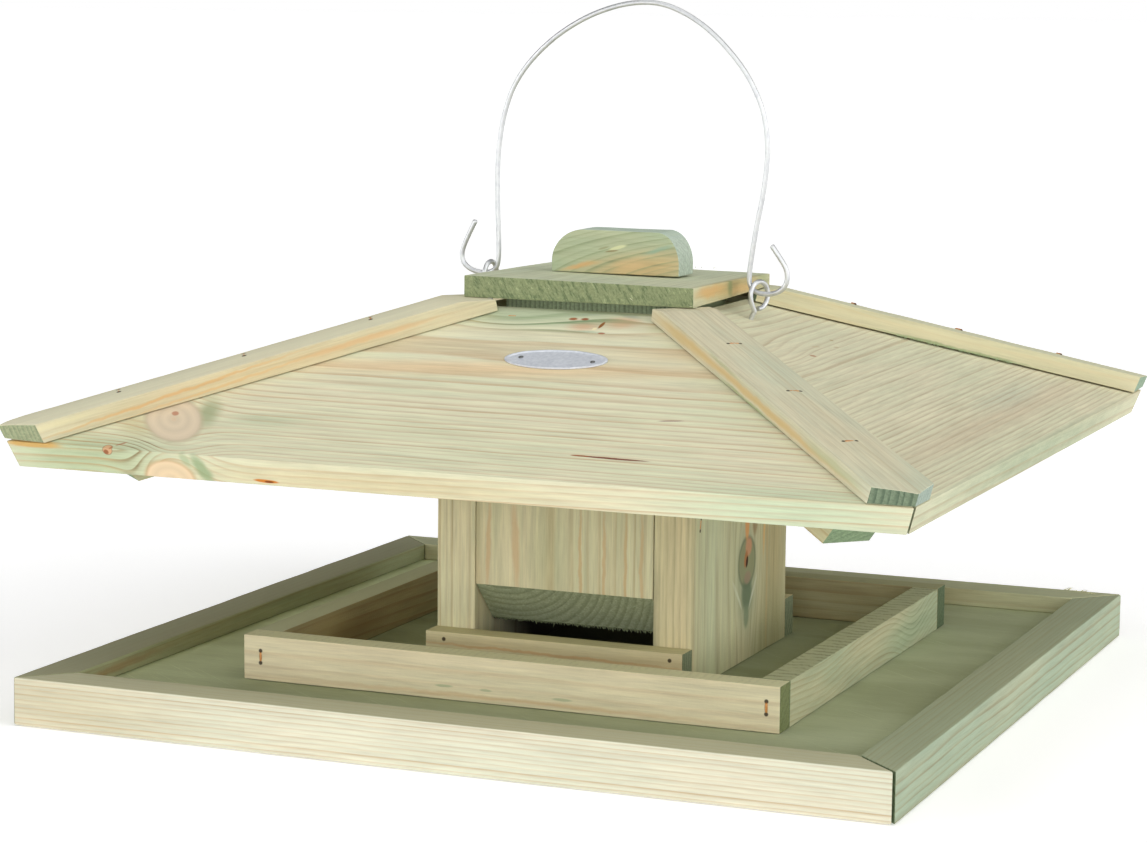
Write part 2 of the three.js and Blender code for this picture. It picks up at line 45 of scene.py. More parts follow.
EAVE, EAVE_Z, ROOF_T = 203.1, 125.8, 12.1
GAMMA = math.atan(TAN / math.sqrt(2))
FALL = TAN / math.sqrt(2) * math.cos(GAMMA)

scene = bpy.context.scene
scene.view_settings.view_transform = "Standard"

# ------------------------------------------------------------------ camera
yaw, pitch, roll = math.radians(22.30), math.radians(7.76), math.radians(0.61)
f = Vector((-math.sin(yaw) * math.cos(pitch), math.cos(yaw) * math.cos(pitch), -math.sin(pitch)))
r = f.cross(Vector((0, 0, 1))).normalized()
u = r.cross(f)
r2 = r * math.cos(roll) + u * math.sin(roll)
u2 = u * math.cos(roll) - r * math.sin(roll)
cam_data = bpy.data.cameras.new("camera")
cam_data.sensor_width = 36
cam_data.lens = 3092 / 1147 * 36
cam_data.shift_x = (573.5 - 575.2) / 1147
cam_data.shift_y = (421.3 - 421.5) / 1147
cam_data.clip_start = 0.05
cam = bpy.data.objects.new("camera", cam_data)
m = Matrix((r2, u2, -f)).transposed().to_4x4()
m.translation = Vector((0.5251, -1.3315, 0.3169))
cam.matrix_world = m
scene.collection.objects.link(cam)
scene.camera = cam


# ------------------------------------------------------------------ node helpers
def lin(c):
    out = []
    for v in c:
        v = v / 255
        out.append(((v + 0.055) / 1.055) ** 2.4 if v > 0.04045 else v / 12.92)
    return (*out, 1.0)


class Tree:
    """Short calls that build a material's nodes."""

    def __init__(self, name):
        self.mat = bpy.data.materials.new(name)
        self.mat.use_nodes = True
        self.nt = self.mat.node_tree
        self.bsdf = self.nt.nodes["Principled BSDF"]
        self.out = self.nt.nodes["Material Output"]

    def new(self, kind):
        return self.nt.nodes.new(kind)

    def put(self, value, socket):
        if isinstance(value, bpy.types.NodeSocket):
            self.nt.links.new(value, socket)
        elif value is not None:
            socket.default_value = value

    def math(self, op, a, b=None, c=None, clamp=False):
        n = self.new("ShaderNodeMath")
        n.operation = op
        n.use_clamp = clamp
        for i, v in enumerate((a, b, c)):
            self.put(v, n.inputs[i])
        return n.outputs[0]

    def vmath(self, op, a, b=None, scale=None):
        n = self.new("ShaderNodeVectorMath")
        n.operation = op
        self.put(a, n.inputs[0])
        if b is not None:
            self.put(b, n.inputs[1])
        if scale is not None:
            self.put(scale, n.inputs["Scale"])
        return n.outputs["Value"] if op in ("LENGTH", "DOT_PRODUCT", "DISTANCE") else n.outputs[0]

    def split(self, v):
        n = self.new("ShaderNodeSeparateXYZ")
        self.put(v, n.inputs[0])
        return n.outputs

    def join(self, x, y, z):
        n = self.new("ShaderNodeCombineXYZ")
        for i, v in enumerate((x, y, z)):
            self.put(v, n.inputs[i])
        return n.outputs[0]

    def noise(self, vec, scale=1.0, detail=2.0, rough=0.5, colour=False, distortion=0.0):
        n = self.new("ShaderNodeTexNoise")
        n.noise_dimensions = "3D"
        self.put(vec, n.inputs["Vector"])
        n.inputs["Scale"].default_value = scale
        n.inputs["Detail"].default_value = detail
        n.inputs["Roughness"].default_value = rough
        n.inputs["Distortion"].default_value = distortion
        return n.outputs["Color" if colour else "Fac"]

    def step(self, v, a, b, lo=0.0, hi=1.0, smooth=True):
        n = self.new("ShaderNodeMapRange")
        n.interpolation_type = "SMOOTHSTEP" if smooth else "LINEAR"
        n.clamp = True
        self.put(v, n.inputs["Value"])
        n.inputs["From Min"].default_value = a
        n.inputs["From Max"].default_value = b
        n.inputs["To Min"].default_value = lo
        n.inputs["To Max"].default_value = hi
        return n.outputs["Result"]

    def ramp(self, v, stops, mode="LINEAR"):
        n = self.new("ShaderNodeValToRGB")
        e = n.color_ramp.elements
        n.color_ramp.interpolation = mode
        while len(e) < len(stops):
            e.new(0.5)
        for k, (pos, col) in zip(e, stops):
            k.position = pos
            k.color = col if len(col) == 4 else (*col, 1)
        self.put(v, n.inputs[0])
        return n.outputs[0]

    def mix(self, fac, a, b, mode="MIX"):
        n = self.new("ShaderNodeMix")
        n.data_type = "RGBA"
        n.blend_type = mode
        self.put(fac, n.inputs[0])
        self.put(a, n.inputs[6])
        self.put(b, n.inputs[7])
        return n.outputs[2]

    def bump(self, height, strength, distance, normal=None):
        n = self.new("ShaderNodeBump")
        n.inputs["Strength"].default_value = strength
        n.inputs["Distance"].default_value = distance
        self.put(height, n.inputs["Height"])
        if normal is not None:
            self.put(normal, n.inputs["Normal"])
        return n.outputs[0]

    def local(self, v, at, size, angle=(0, 0, 0)):
        """Distance from a point in units of an ellipsoid's half sizes."""
        n = self.new("ShaderNodeMapping")
        n.vector_type = "TEXTURE"
        self.put(v, n.inputs["Vector"])
        n.inputs["Location"].default_value = at
        n.inputs["Rotation"].default_value = [math.radians(a) for a in angle]
        n.inputs["Scale"].default_value = size
        return self.vmath("LENGTH", n.outputs[0])


CREAM, MINT, PEACH, TAN_, GREY = (219, 211, 178), (204, 210, 176), (206, 175, 134), (197, 178, 128), (186, 184, 158)
# painted dark of the staple holes: their shade and rust together
PIT = (52, 38, 28)


def pine(name, centre, ring=4.0, late=PEACH, early=CREAM, tint=MINT, tint_amount=0.5, contrast=0.6, warp=1.5, tilt=0.0,
         seed=0.0, knots=(), flows=(), blots=(), pits=(), end=(128, 142, 108), end_late=(78, 98, 70), end_right=None,
         rough=0.82, sawn=0.35, fibre=0.13, top=None, saw_pitch=2.2, saw_dark=None, streak=0.0, streak_col=(150, 160, 130),
         scratch=None, jitter=2.2, dips=(), zones=(), end_centre=None, end_contrast=0.9):
    """Pine with its rings about a line along local X. All lengths in millimetres.

    centre: (y, z) of the pith; knots: (at, half sizes, angles, (inner, rim, heart), number of rings);
    flows: (at, half sizes, strength, angles) bends the rings round a point; dips: (at, half sizes, amount) pushes them
    aside;
    zones: (at, half sizes, late colour, gain) changes the lines' colour and strength;
    blots: (at, half sizes, angles, colour, strength, softness), stains with some painted shade and painted highlights
    among them; pits: painted dark spots for small holes, their shade and rust together; top: (colour, amount), painted
    light and shade on faces that look up.
    """
    t = Tree(name)
    tc = t.new("ShaderNodeTexCoord")
    at_ = t.new("ShaderNodeMapping")
    at_.name = "board_point"
    at_.vector_type = "TEXTURE"
    t.put(t.vmath("SCALE", tc.outputs["Object"], scale=1000.0), at_.inputs["Vector"])
    p = at_.outputs[0]
    ps = t.vmath("ADD", p, (seed * 37.1, seed * 11.3, seed * 5.7))
    # slow wander of the grain
    w = t.noise(t.vmath("MULTIPLY", ps, (0.0040, 0.016, 0.016)), 1.0, 2.0, 0.5, colour=True)
    w = t.vmath("SCALE", t.vmath("SUBTRACT", w, (0.5, 0.5, 0.5)), scale=warp * 4)
    x, y, z = t.split(p)[0:3]
    yy, zz = y, z
    for at, size, strength, *turned in flows:
        d = t.local(p, at, size, turned[0] if turned else (0, 0, 0))
        g = t.math("EXPONENT", t.math("MULTIPLY", t.math("MULTIPLY", d, d), -1.0))
        g = t.math("MULTIPLY", g, strength)
        yy = t.math("SUBTRACT", yy, t.math("MULTIPLY", t.math("SUBTRACT", y, at[1]), g))
        zz = t.math("SUBTRACT", zz, t.math("MULTIPLY", t.math("SUBTRACT", z, at[2]), g))
    yy = t.math("ADD", yy, t.math("MULTIPLY", x, math.tan(math.radians(tilt))))
    q = t.vmath("ADD", t.join(0.0, yy, zz), w)
    q = t.vmath("SUBTRACT", q, (0.0, centre[0], centre[1]))
    q = t.vmath("MULTIPLY", q, (0.0, 1.0, 1.0))
    rad = t.vmath("LENGTH", q)
    # irregular edge for knots and blots
    wob = t.noise(t.vmath("MULTIPLY", ps, (0.10, 0.12, 0.12)), 1.0, 3.0, 0.6, colour=True)
    wob = t.vmath("SCALE", t.vmath("SUBTRACT", wob, (0.5, 0.5, 0.5)), scale=2.6)
    pw = t.vmath("ADD", p, wob)
    pf = t.vmath("ADD", p, t.vmath("SCALE", wob, scale=0.3))
    for at, size, amount in dips:
        d = t.local(p, at, size)
        g = t.math("EXPONENT", t.math("MULTIPLY", t.math("MULTIPLY", d, d), -1.0))
        rad = t.math("ADD", rad, t.math("MULTIPLY", g, amount))
    rr = t.math("DIVIDE", rad, ring)
    rr = t.math("ADD", rr, t.math("MULTIPLY", t.noise(t.join(rr, seed + 3.0, 0.0), 0.35, 2.0, 0.5), jitter))
    frac = t.math("FRACT", rr)
    band = t.ramp(frac, [(0.0, (0, 0, 0)), (0.28, (0.03,) * 3), (0.60, (0.26,) * 3), (0.82, (0.92,) * 3),
                         (0.92, (1, 1, 1)), (1.0, (0.04,) * 3)])
    wn = t.new("ShaderNodeTexWhiteNoise")
    wn.noise_dimensions = "1D"
    t.put(t.math("FLOOR", rr), wn.inputs["W"])
    power = t.step(wn.outputs["Value"], 0.0, 1.0, 0.35, 1.0, smooth=False)
    band = t.math("MULTIPLY", band, power)
    # fine fibres along the grain
    fine = t.noise(t.vmath("MULTIPLY", ps, (0.05, 1.15, 1.15)), 1.0, 4.0, 0.7)
    mid = t.noise(t.vmath("MULTIPLY", ps, (0.02, 0.35, 0.35)), 1.0, 3.0, 0.6)
    band = t.math("MULTIPLY", band, t.step(mid, 0.2, 0.8, contrast * 1.35, contrast * 0.65, smooth=False))
    # ground colour
    g = t.noise(t.vmath("MULTIPLY", ps, (0.008, 0.030, 0.030)), 1.0, 3.0, 0.55)
    g = t.step(g, 0.36, 0.64, 0.0, tint_amount)
    base = t.mix(g, lin(early), lin(tint))
    # broad stains lie in the wood under its lines
    for at, size, angle, colour, strength, soft in [b for b in blots if b[5] >= 0.85]:
        fac = t.step(t.local(pw, at, size, angle), 1.0 - soft, 1.0 + soft * 0.4, strength, 0.0)
        base = t.mix(fac, base, lin(colour))
    line = None
    for at, size, colour, gain in zones:
        fac = t.step(t.local(pw, at, size), 0.3, 1.3, 1.0, 0.0)
        line = t.mix(fac, line if line is not None else lin(late), lin(colour))
        band = t.math("MULTIPLY", band, t.math("MULTIPLY_ADD", fac, gain - 1.0, 1.0), clamp=True)
    col = t.mix(band, base, line if line is not None else lin(late))
    k = t.math("ADD", t.step(fine, 0.25, 0.75, 1.0 - fibre, 1.0 + fibre * 0.5, smooth=False),
               t.step(mid, 0.25, 0.75, -fibre * 0.8, fibre * 0.6, smooth=False))
    col = t.mix(1.0, col, t.join(k, k, k), "MULTIPLY")
    if streak:
        s = t.noise(t.vmath("MULTIPLY", ps, (0.012, 0.16, 0.16)), 1.0, 2.0, 0.5)
        s = t.step(s, 0.50, 0.66, 0.0, streak)
        col = t.mix(s, col, lin(streak_col))
    # soft stains, with the painted shade inside the hopper, lie under the knots; small marks over them, with painted
    # shade and painted highlights among them
    for at, size, angle, colour, strength, soft in [b for b in blots if 0.6 <= b[5] < 0.85]:
        fac = t.step(t.local(pw, at, size, angle), 1.0 - soft, 1.0 + soft * 0.4, strength, 0.0)
        col = t.mix(fac, col, lin(colour))
    for at, size, angle, cols, count in knots:
        inner, rim, heart = cols
        d = t.local(pf, at, size, angle)
        turns = t.math("MULTIPLY", t.math("POWER", d, 0.85), count)
        rings = t.math("MULTIPLY", t.math("PINGPONG", turns, 1.0), 0.45)
        core = t.mix(rings, lin(inner), lin([v * 0.90 for v in inner]))
        core = t.mix(t.step(d, 0.02, 0.15, 0.85, 0.0), core, lin(heart))
        col = t.mix(t.step(d, 0.92, 1.04, 1.0, 0.0), col, core)
        edge = t.math("MULTIPLY", t.step(d, 0.86, 0.99), t.step(d, 1.0, 1.16, 1.0, 0.0))
        col = t.mix(t.math("MULTIPLY", edge, 0.5), col, lin(rim))
    for at, size, angle, colour, strength, soft in [b for b in blots if b[5] < 0.6]:
        fac = t.step(t.local(pf, at, size, angle), 1.0 - soft * 0.8, 1.0 + soft * 0.4, strength, 0.0)
        col = t.mix(fac, col, lin(colour))
    # end grain
    nm = t.new("ShaderNodeMapping")
    nm.name = "board_normal"
    nm.vector_type = "TEXTURE"
    t.put(tc.outputs["Normal"], nm.inputs["Vector"])
    nrm = t.split(nm.outputs[0])
    e = t.step(t.math("ABSOLUTE", nrm[0]), 0.55, 0.64)
    pores = t.noise(t.vmath("MULTIPLY", ps, (0.8, 0.9, 0.9)), 1.0, 3.0, 0.7)
    ground = lin(end)
    late_end = lin(end_late)
    geo = t.new("ShaderNodeNewGeometry")
    up = t.split(geo.outputs["Normal"])
    if end_right is not None:
        side = t.step(up[0], 0.5, 0.7)
        ground = t.mix(side, ground, lin(end_right))
        late_end = t.mix(side, late_end, lin([v * 0.86 for v in end_right]))
    if end_centre is not None:
        # rings of the end grain about their own centre
        cy_, cz_, pitch_e = end_centre
        qe = t.vmath("MULTIPLY", t.vmath("SUBTRACT", t.vmath("ADD", p, t.vmath("SCALE", w, scale=0.35)), (0.0, cy_, cz_)), (0.0, 1.0, 1.0))
        re_ = t.math("DIVIDE", t.vmath("LENGTH", qe), pitch_e)
        re_ = t.math("ADD", re_, t.math("MULTIPLY", t.noise(t.join(re_, seed + 9.0, 0.0), 0.5, 2.0, 0.5), 1.2))
        band_e = t.ramp(t.math("FRACT", re_), [(0.0, (0, 0, 0)), (0.40, (0.10,) * 3), (0.80, (1, 1, 1)), (0.92, (0.9,) * 3), (1.0, (0.02,) * 3)])
    else:
        band_e = t.math("POWER", band, 0.7)
    eb = t.mix(t.math("MULTIPLY", band_e, end_contrast), ground, late_end)
    kk = t.step(pores, 0.3, 0.72, 0.74, 1.16, smooth=False)
    eb = t.mix(1.0, eb, t.join(kk, kk, kk), "MULTIPLY")
    relief = t.math("MULTIPLY", pores, 0.8)
    if scratch is not None:
        mp = t.new("ShaderNodeMapping")
        t.put(ps, mp.inputs["Vector"])
        mp.inputs["Rotation"].default_value = (math.radians(scratch[0]), 0, 0)
        cut = t.noise(t.vmath("MULTIPLY", mp.outputs[0], (0.3, 0.20, 0.85)), 1.0, 4.0, 0.72)
        eb = t.mix(t.step(cut, 0.50, 0.62, 0.0, 0.75), eb, lin(scratch[1]))
        eb = t.mix(t.step(cut, 0.40, 0.30, 0.0, 0.65), eb, lin(scratch[2]))
        relief = t.math("ADD", relief, t.math("MULTIPLY", cut, -1.2))
    col = t.mix(e, col, eb)
    if saw_dark is not None:
        amount, pitch_, face = saw_dark
        ph = t.math("ADD", t.math("MULTIPLY", x, 2 * math.pi / pitch_), t.math("MULTIPLY", mid, 7.0))
        bars = t.step(t.math("SINE", ph), 0.0, 0.9)
        rag = t.noise(t.vmath("MULTIPLY", ps, (0.25, 0.12, 0.12)), 1.0, 2.0, 0.6)
        bars = t.math("MULTIPLY", bars, t.step(rag, 0.35, 0.6))
        bars = t.math("MULTIPLY", bars, t.step(t.math("MULTIPLY", up[2], face), 0.6, 0.9, 0.0, amount))
    if top is not None:
        # painted light and shade: a face that looks up takes its own colour, lighter or darker as the light falls on it
        col = t.mix(t.step(up[2], 0.6, 0.9, 0.0, top[1]), col, lin(top[0]))
    if saw_dark is not None:
        col = t.mix(bars, col, lin([v * 0.62 for v in (top[0] if top else early)]))
    # pits: painted shade of the staple holes, with their rust
    for at, radius in pits:
        col = t.mix(t.step(t.local(p, at, (radius,) * 3), 0.7, 1.15, 0.92, 0.0), col, lin(PIT))
    t.put(col, t.bsdf.inputs["Base Color"])
    t.bsdf.inputs["Roughness"].default_value = rough
    t.bsdf.inputs["Specular IOR Level"].default_value = 0.25
    # relief: late wood stands a little proud, fibres, marks of the saw
    saw = t.math("SINE", t.math("MULTIPLY", t.math("ADD", x, t.math("MULTIPLY", mid, 5.0)), 2 * math.pi / saw_pitch))
    h = t.math("ADD", t.math("MULTIPLY", band, 0.25), t.math("MULTIPLY", fine, 0.75))
    h = t.math("ADD", h, t.math("MULTIPLY", saw, 0.10 * sawn))
    h = t.math("ADD", h, t.math("MULTIPLY", relief, e))
    t.put(t.bump(h, 0.45 + 0.4 * sawn, 0.00035), t.bsdf.inputs["Normal"])
    return t.mat


def plywood(name, light=(176, 184, 152), dark=(162, 169, 136), edge=(120, 124, 90), seed=51.0):
    """Sanded plywood sheet, grain along X, with short pores and stray scratches."""
    t = Tree(name)
    tc = t.new("ShaderNodeTexCoord")
    p = t.vmath("SCALE", tc.outputs["Object"], scale=1000.0)
    ps = t.vmath("ADD", p, (seed, seed * 2.0, 0.0))
    slow = t.noise(t.vmath("MULTIPLY", ps, (0.006, 0.022, 1.0)), 1.0, 3.0, 0.6)
    fibre = t.noise(t.vmath("MULTIPLY", ps, (0.05, 1.1, 1.0)), 1.0, 3.0, 0.65)
    pore = t.noise(t.vmath("MULTIPLY", ps, (0.25, 2.4, 1.0)), 1.0, 2.0, 0.6)
    col = t.mix(t.step(slow, 0.36, 0.64), lin(dark), lin(light))
    k = t.step(fibre, 0.25, 0.75, 0.92, 1.06, smooth=False)
    col = t.mix(1.0, col, t.join(k, k, k), "MULTIPLY")
    col = t.mix(t.step(pore, 0.62, 0.74, 0.0, 0.22), col, lin([v * 0.66 for v in dark]))
    mp = t.new("ShaderNodeMapping")
    t.put(ps, mp.inputs["Vector"])
    mp.inputs["Rotation"].default_value = (0, 0, math.radians(38))
    scr = t.noise(t.vmath("MULTIPLY", mp.outputs[0], (0.018, 1.3, 1.0)), 1.0, 2.0, 0.5)
    col = t.mix(t.step(scr, 0.66, 0.70, 0.0, 0.35), col, lin([min(255, v * 1.14) for v in light]))
    # painted shade on the floor under the hopper, the dark inside of the hopper
    px_, py_ = t.split(p)[0:2]
    shade = t.math("MULTIPLY", t.step(t.math("ABSOLUTE", t.math("SUBTRACT", px_, 1.2)), 47.0, 43.8),
                   t.step(t.math("ABSOLUTE", t.math("ADD", py_, 1.8)), 62.0, 50.0))
    col = t.mix(t.math("MULTIPLY", shade, 0.9), col, lin((34, 36, 24)))
    # painted light and shade on the floor: lighter towards the left and right ends, darker inside the tray rails and
    # towards the front
    tray_inside_shade = t.math("MULTIPLY", t.step(t.math("ABSOLUTE", t.math("ADD", px_, 1.5)), 116.0, 112.0),
                    t.step(t.math("ABSOLUTE", t.math("ADD", py_, 0.6)), 116.0, 112.0))
    painted_light_tone = t.math("SUBTRACT", t.math("MULTIPLY", t.step(px_, -152.0, -112.0, 1.55, 1.0), t.step(px_, 118.0, 135.0, 1.0, 1.10)), t.math("MULTIPLY", tray_inside_shade, 0.20))
    painted_light_tone = t.math("MULTIPLY", painted_light_tone, t.step(py_, -150.0, -118.0, 0.94, 1.0))
    col = t.mix(1.0, col, t.join(painted_light_tone, painted_light_tone, painted_light_tone), "MULTIPLY")
    n = t.split(tc.outputs["Normal"])
    ply = t.math("FRACT", t.math("DIVIDE", t.split(p)[2], 2.0))
    e = t.step(t.math("ABSOLUTE", n[2]), 0.6, 0.4)
    col = t.mix(e, col, t.mix(t.step(ply, 0.45, 0.55), lin(edge), lin([v * 0.8 for v in edge])))
    t.put(col, t.bsdf.inputs["Base Color"])
    t.bsdf.inputs["Roughness"].default_value = 0.85
    t.bsdf.inputs["Specular IOR Level"].default_value = 0.2
    t.put(t.bump(t.math("ADD", fibre, t.math("MULTIPLY", pore, 0.5)), 0.4, 0.0003), t.bsdf.inputs["Normal"])
    return t.mat


# ------------------------------------------------------------------ mesh helpers
def axes(origin, x, y):
    """Matrix of a board's frame, millimetres in, metres out: X along the grain."""
    x, y = Vector(x).normalized(), Vector(y).normalized()
    z = x.cross(y).normalized()
    y = z.cross(x)
    mm = Matrix((x, y, z)).transposed().to_4x4()
    mm.translation = Vector(origin) * MM
    return mm


def place(mat, matrix):
    """Tell a board's material where the board's frame is."""
    turn = matrix.to_euler("XYZ")
    for n in mat.node_tree.nodes:
        if n.name in ("board_point", "board_normal"):
            n.inputs["Rotation"].default_value = turn
        if n.name == "board_point":
            n.inputs["Location"].default_value = matrix.translation / MM


def finish_mesh(bm, name, matrix, mat, body, nodes, sharp=40.0, rest=False, fix=None):
    me = bpy.data.meshes.new(name)
    if rest:
        bm.transform(matrix)
        place(mat, matrix)
        matrix = Matrix.Identity(4)
        if fix:
            for v in bm.verts:
                fix(v)
    bmesh.ops.recalc_face_normals(bm, faces=bm.faces)
    bm.to_mesh(me)
    bm.free()
    for p in me.polygons:
        p.use_smooth = True
    me.set_sharp_from_angle(angle=math.radians(sharp))
    ob = bpy.data.objects.new(name, me)
    ob.matrix_world = matrix
    scene.collection.objects.link(ob)
    me.materials.append(mat)
    wn = ob.modifiers.new("weighted", "WEIGHTED_NORMAL")
    wn.keep_sharp = True
    wn.weight = 100
    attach(ob, body)
    if nodes:
        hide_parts(*nodes)
    return ob


def hull_bm(points, inverse):
    bm = bmesh.new()
    for p in points:
        bm.verts.new(inverse @ Vector(p))
    res = bmesh.ops.convex_hull(bm, input=bm.verts, use_existing_faces=False)
    dead = {v for v in res["geom_interior"] if isinstance(v, bmesh.types.BMVert)}
    dead |= {v for v in bm.verts if not v.link_faces}
    bmesh.ops.delete(bm, geom=list(dead), context="VERTS")
    bmesh.ops.dissolve_limit(bm, angle_limit=math.radians(1.0), verts=bm.verts, edges=bm.edges)
    return bm


def node_points(node):
    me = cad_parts[node].data
    return [v.co.copy() for v in me.vertices]


def bevel(bm, width, limit=25.0, segments=3, pick=None):
    es = [e for e in bm.edges if len(e.link_faces) == 2 and e.calc_face_angle(0) > math.radians(limit)]
    if pick:
        es = [e for e in es if pick(e)]
    bmesh.ops.bevel(bm, geom=es, offset=width * MM, segments=segments, profile=0.55, affect="EDGES", clamp_overlap=True)


def slices(bm, step, axis=0):
    """Extra edge loops across the board, so that its edges can wander."""
    lo = min(v.co[axis] for v in bm.verts)
    hi = max(v.co[axis] for v in bm.verts)
    n = max(1, int((hi - lo) / (step * MM)))
    normal = Vector((0, 0, 0))
    normal[axis] = 1
    for k in range(1, n):
        co = Vector((0, 0, 0))
        co[axis] = lo + (hi - lo) * k / n
        bmesh.ops.bisect_plane(bm, geom=bm.verts[:] + bm.edges[:] + bm.faces[:], plane_co=co, plane_no=normal, dist=1e-7)


def wander(bm, amount, length=30.0, seed=0.0):
    """Hand-sawn unevenness. It only takes wood away."""
    bm.normal_update()
    off = []
    for v in bm.verts:
        q = v.co / (length * MM) + Vector((seed, seed * 2.3, -seed))
        a = noise.noise(q) * 0.6 + noise.noise(q * 3.1) * 0.25
        off.append(v.normal * (-(0.5 + a) * amount * MM * 0.9))
    for v, o in zip(bm.verts, off):
        v.co += o


def plank(node, matrix, mat, body="table", edge=0.7, step=9.0, cross=0.0, amount=0.22, seed=0.0, cut=None, name=None):
    bm = hull_bm(node_points(node), matrix.inverted())
    bevel(bm, edge)
    slices(bm, step, 0)
    if cross:
        slices(bm, cross, 1)
    if cut:
        cut(bm)
    wander(bm, amount, seed=seed)
    return finish_mesh(bm, name or node + "_wood", matrix, mat, body, [node], rest=True)


# ------------------------------------------------------------------ staples' places
HIP = {"front_right": (1, -1), "front_left": (-1, -1), "back_right": (1, 1), "back_left": (-1, 1)}
LIFT = {"front_right": 0.3, "front_left": 1.2, "back_right": 1.3, "back_left": 0.6}
UPPER = {"front_right": 48.8, "front_left": 46.6, "back_right": 45.5, "back_left": 46.5}
SLOPE_UP = Vector((0, -SIN, COS))
hx, hy = 1.2, -1.8
tr = (-1.5, -0.6)


def hip_axes(sx, sy):
    n = Vector((sx * math.sin(GAMMA) / math.sqrt(2), sy * math.sin(GAMMA) / math.sqrt(2), math.cos(GAMMA)))
    al = Vector((sx * math.cos(GAMMA) / math.sqrt(2), sy * math.cos(GAMMA) / math.sqrt(2), -math.sin(GAMMA)))
    return n, al


def hip_at(sx, sy, c):
    return Vector((sx * c, sy * c, EAVE_Z + (EAVE - c) * TAN))


def staple_matrix(at, crown, out):
    x, y = Vector(crown).normalized(), Vector(out).normalized()
    z = x.cross(y)
    mm = Matrix((x, y, z)).transposed().to_4x4()
    mm.translation = Vector(at) * MM
    return mm


STAPLES = []
HIP_STAPLES = {
    "front_right": [(87.5, 8, 0), (127.2, 8, 0.8), (165.7, 8, -1.6)], "front_left": [(84.6, 18, 0), (126.4, 15, 0), (166.6, 12, 0)],
    "back_right": [(85.8, 5, 0), (126.9, -8, 0), (167.3, 3, 0)], "back_left": [(88, -6, 0), (127, 8, 0), (167, -4, 0)],
}
for corner, places in HIP_STAPLES.items():
    sx, sy = HIP[corner]
    n, al = hip_axes(sx, sy)
    across = n.cross(al)
    for i, (c, skew, aside) in enumerate(places):
        a = math.radians(skew)
        crown = across * math.cos(a) + al * math.sin(a)
        proud = {"back_right": 0.55, "front_left": 0.12}.get(corner, -0.05)
        at = hip_at(sx, sy, c) + n * (LIFT[corner] + 6.3 + proud) + across * aside
        STAPLES.append((f"hip_staple_{corner}_{i + 1}", staple_matrix(at, crown, n), 25.5))
for end, sy in (("front", -1), ("back", 1)):
    for hand in ("left", "right"):
        x = (118.4 if hand == "left" else 120.7) if sy < 0 else (120.8 if hand == "left" else 120.4)
        x = -x if hand == "left" else x
        STAPLES.append((f"trough_staple_{end}_{hand}", staple_matrix((tr[0] + x, tr[1] + sy * 127, 23.7), (0, 0, 1), (0, sy, 0)), 24.5))
    for hand, sx, x in (("left", -1, -52.1), ("right", 1, 55.2)):
        STAPLES.append((f"slat_staple_{end}_{hand}", staple_matrix((hx + x, hy + sy * 77.0, 26.2), (0.45 * sx, 0, 1), (0, sy, 0)), 24.3))
# staples that only the visual model has: top of the front panel, right side of the hopper
for i, (x, y) in enumerate(((-28, -59.1), (4.7, -59.6))):
    STAPLES.append((f"panel_staple_{i + 1}", staple_matrix((x, y, EAVE_Z + (EAVE + y) * TAN), (1, 0, 0), SLOPE_UP), 11))
STAPLES.append(("hopper_side_staple", staple_matrix((hx + 62.5, -58.1, 86.7), (0, 0.2, 1), (1, 0, 0)), 16))


def pits_in(matrix, start, radius=1.05):
    """Painted dark spots at the ends of the crowns of the named staples, in a board's frame: the holes' shade and rust
    together.
    """
    out = []
    for name_, mm, leg in STAPLES:
        if name_.startswith(start):
            for side_ in (-2.75, 2.75):
                v = matrix.inverted() @ (mm @ Vector((side_ * MM, -0.2 * MM, 0)))
                out.append(((v.x / MM, v.y / MM, v.z / MM), radius))
    return out


# ------------------------------------------------------------------ wood
ROT = [Matrix.Rotation(math.radians(90 * k), 4, "Z") for k in range(4)]
PANEL = [ROT[k] @ axes((0, -EAVE, EAVE_Z), (1, 0, 0), (0, COS, SIN)) for k in range(4)]

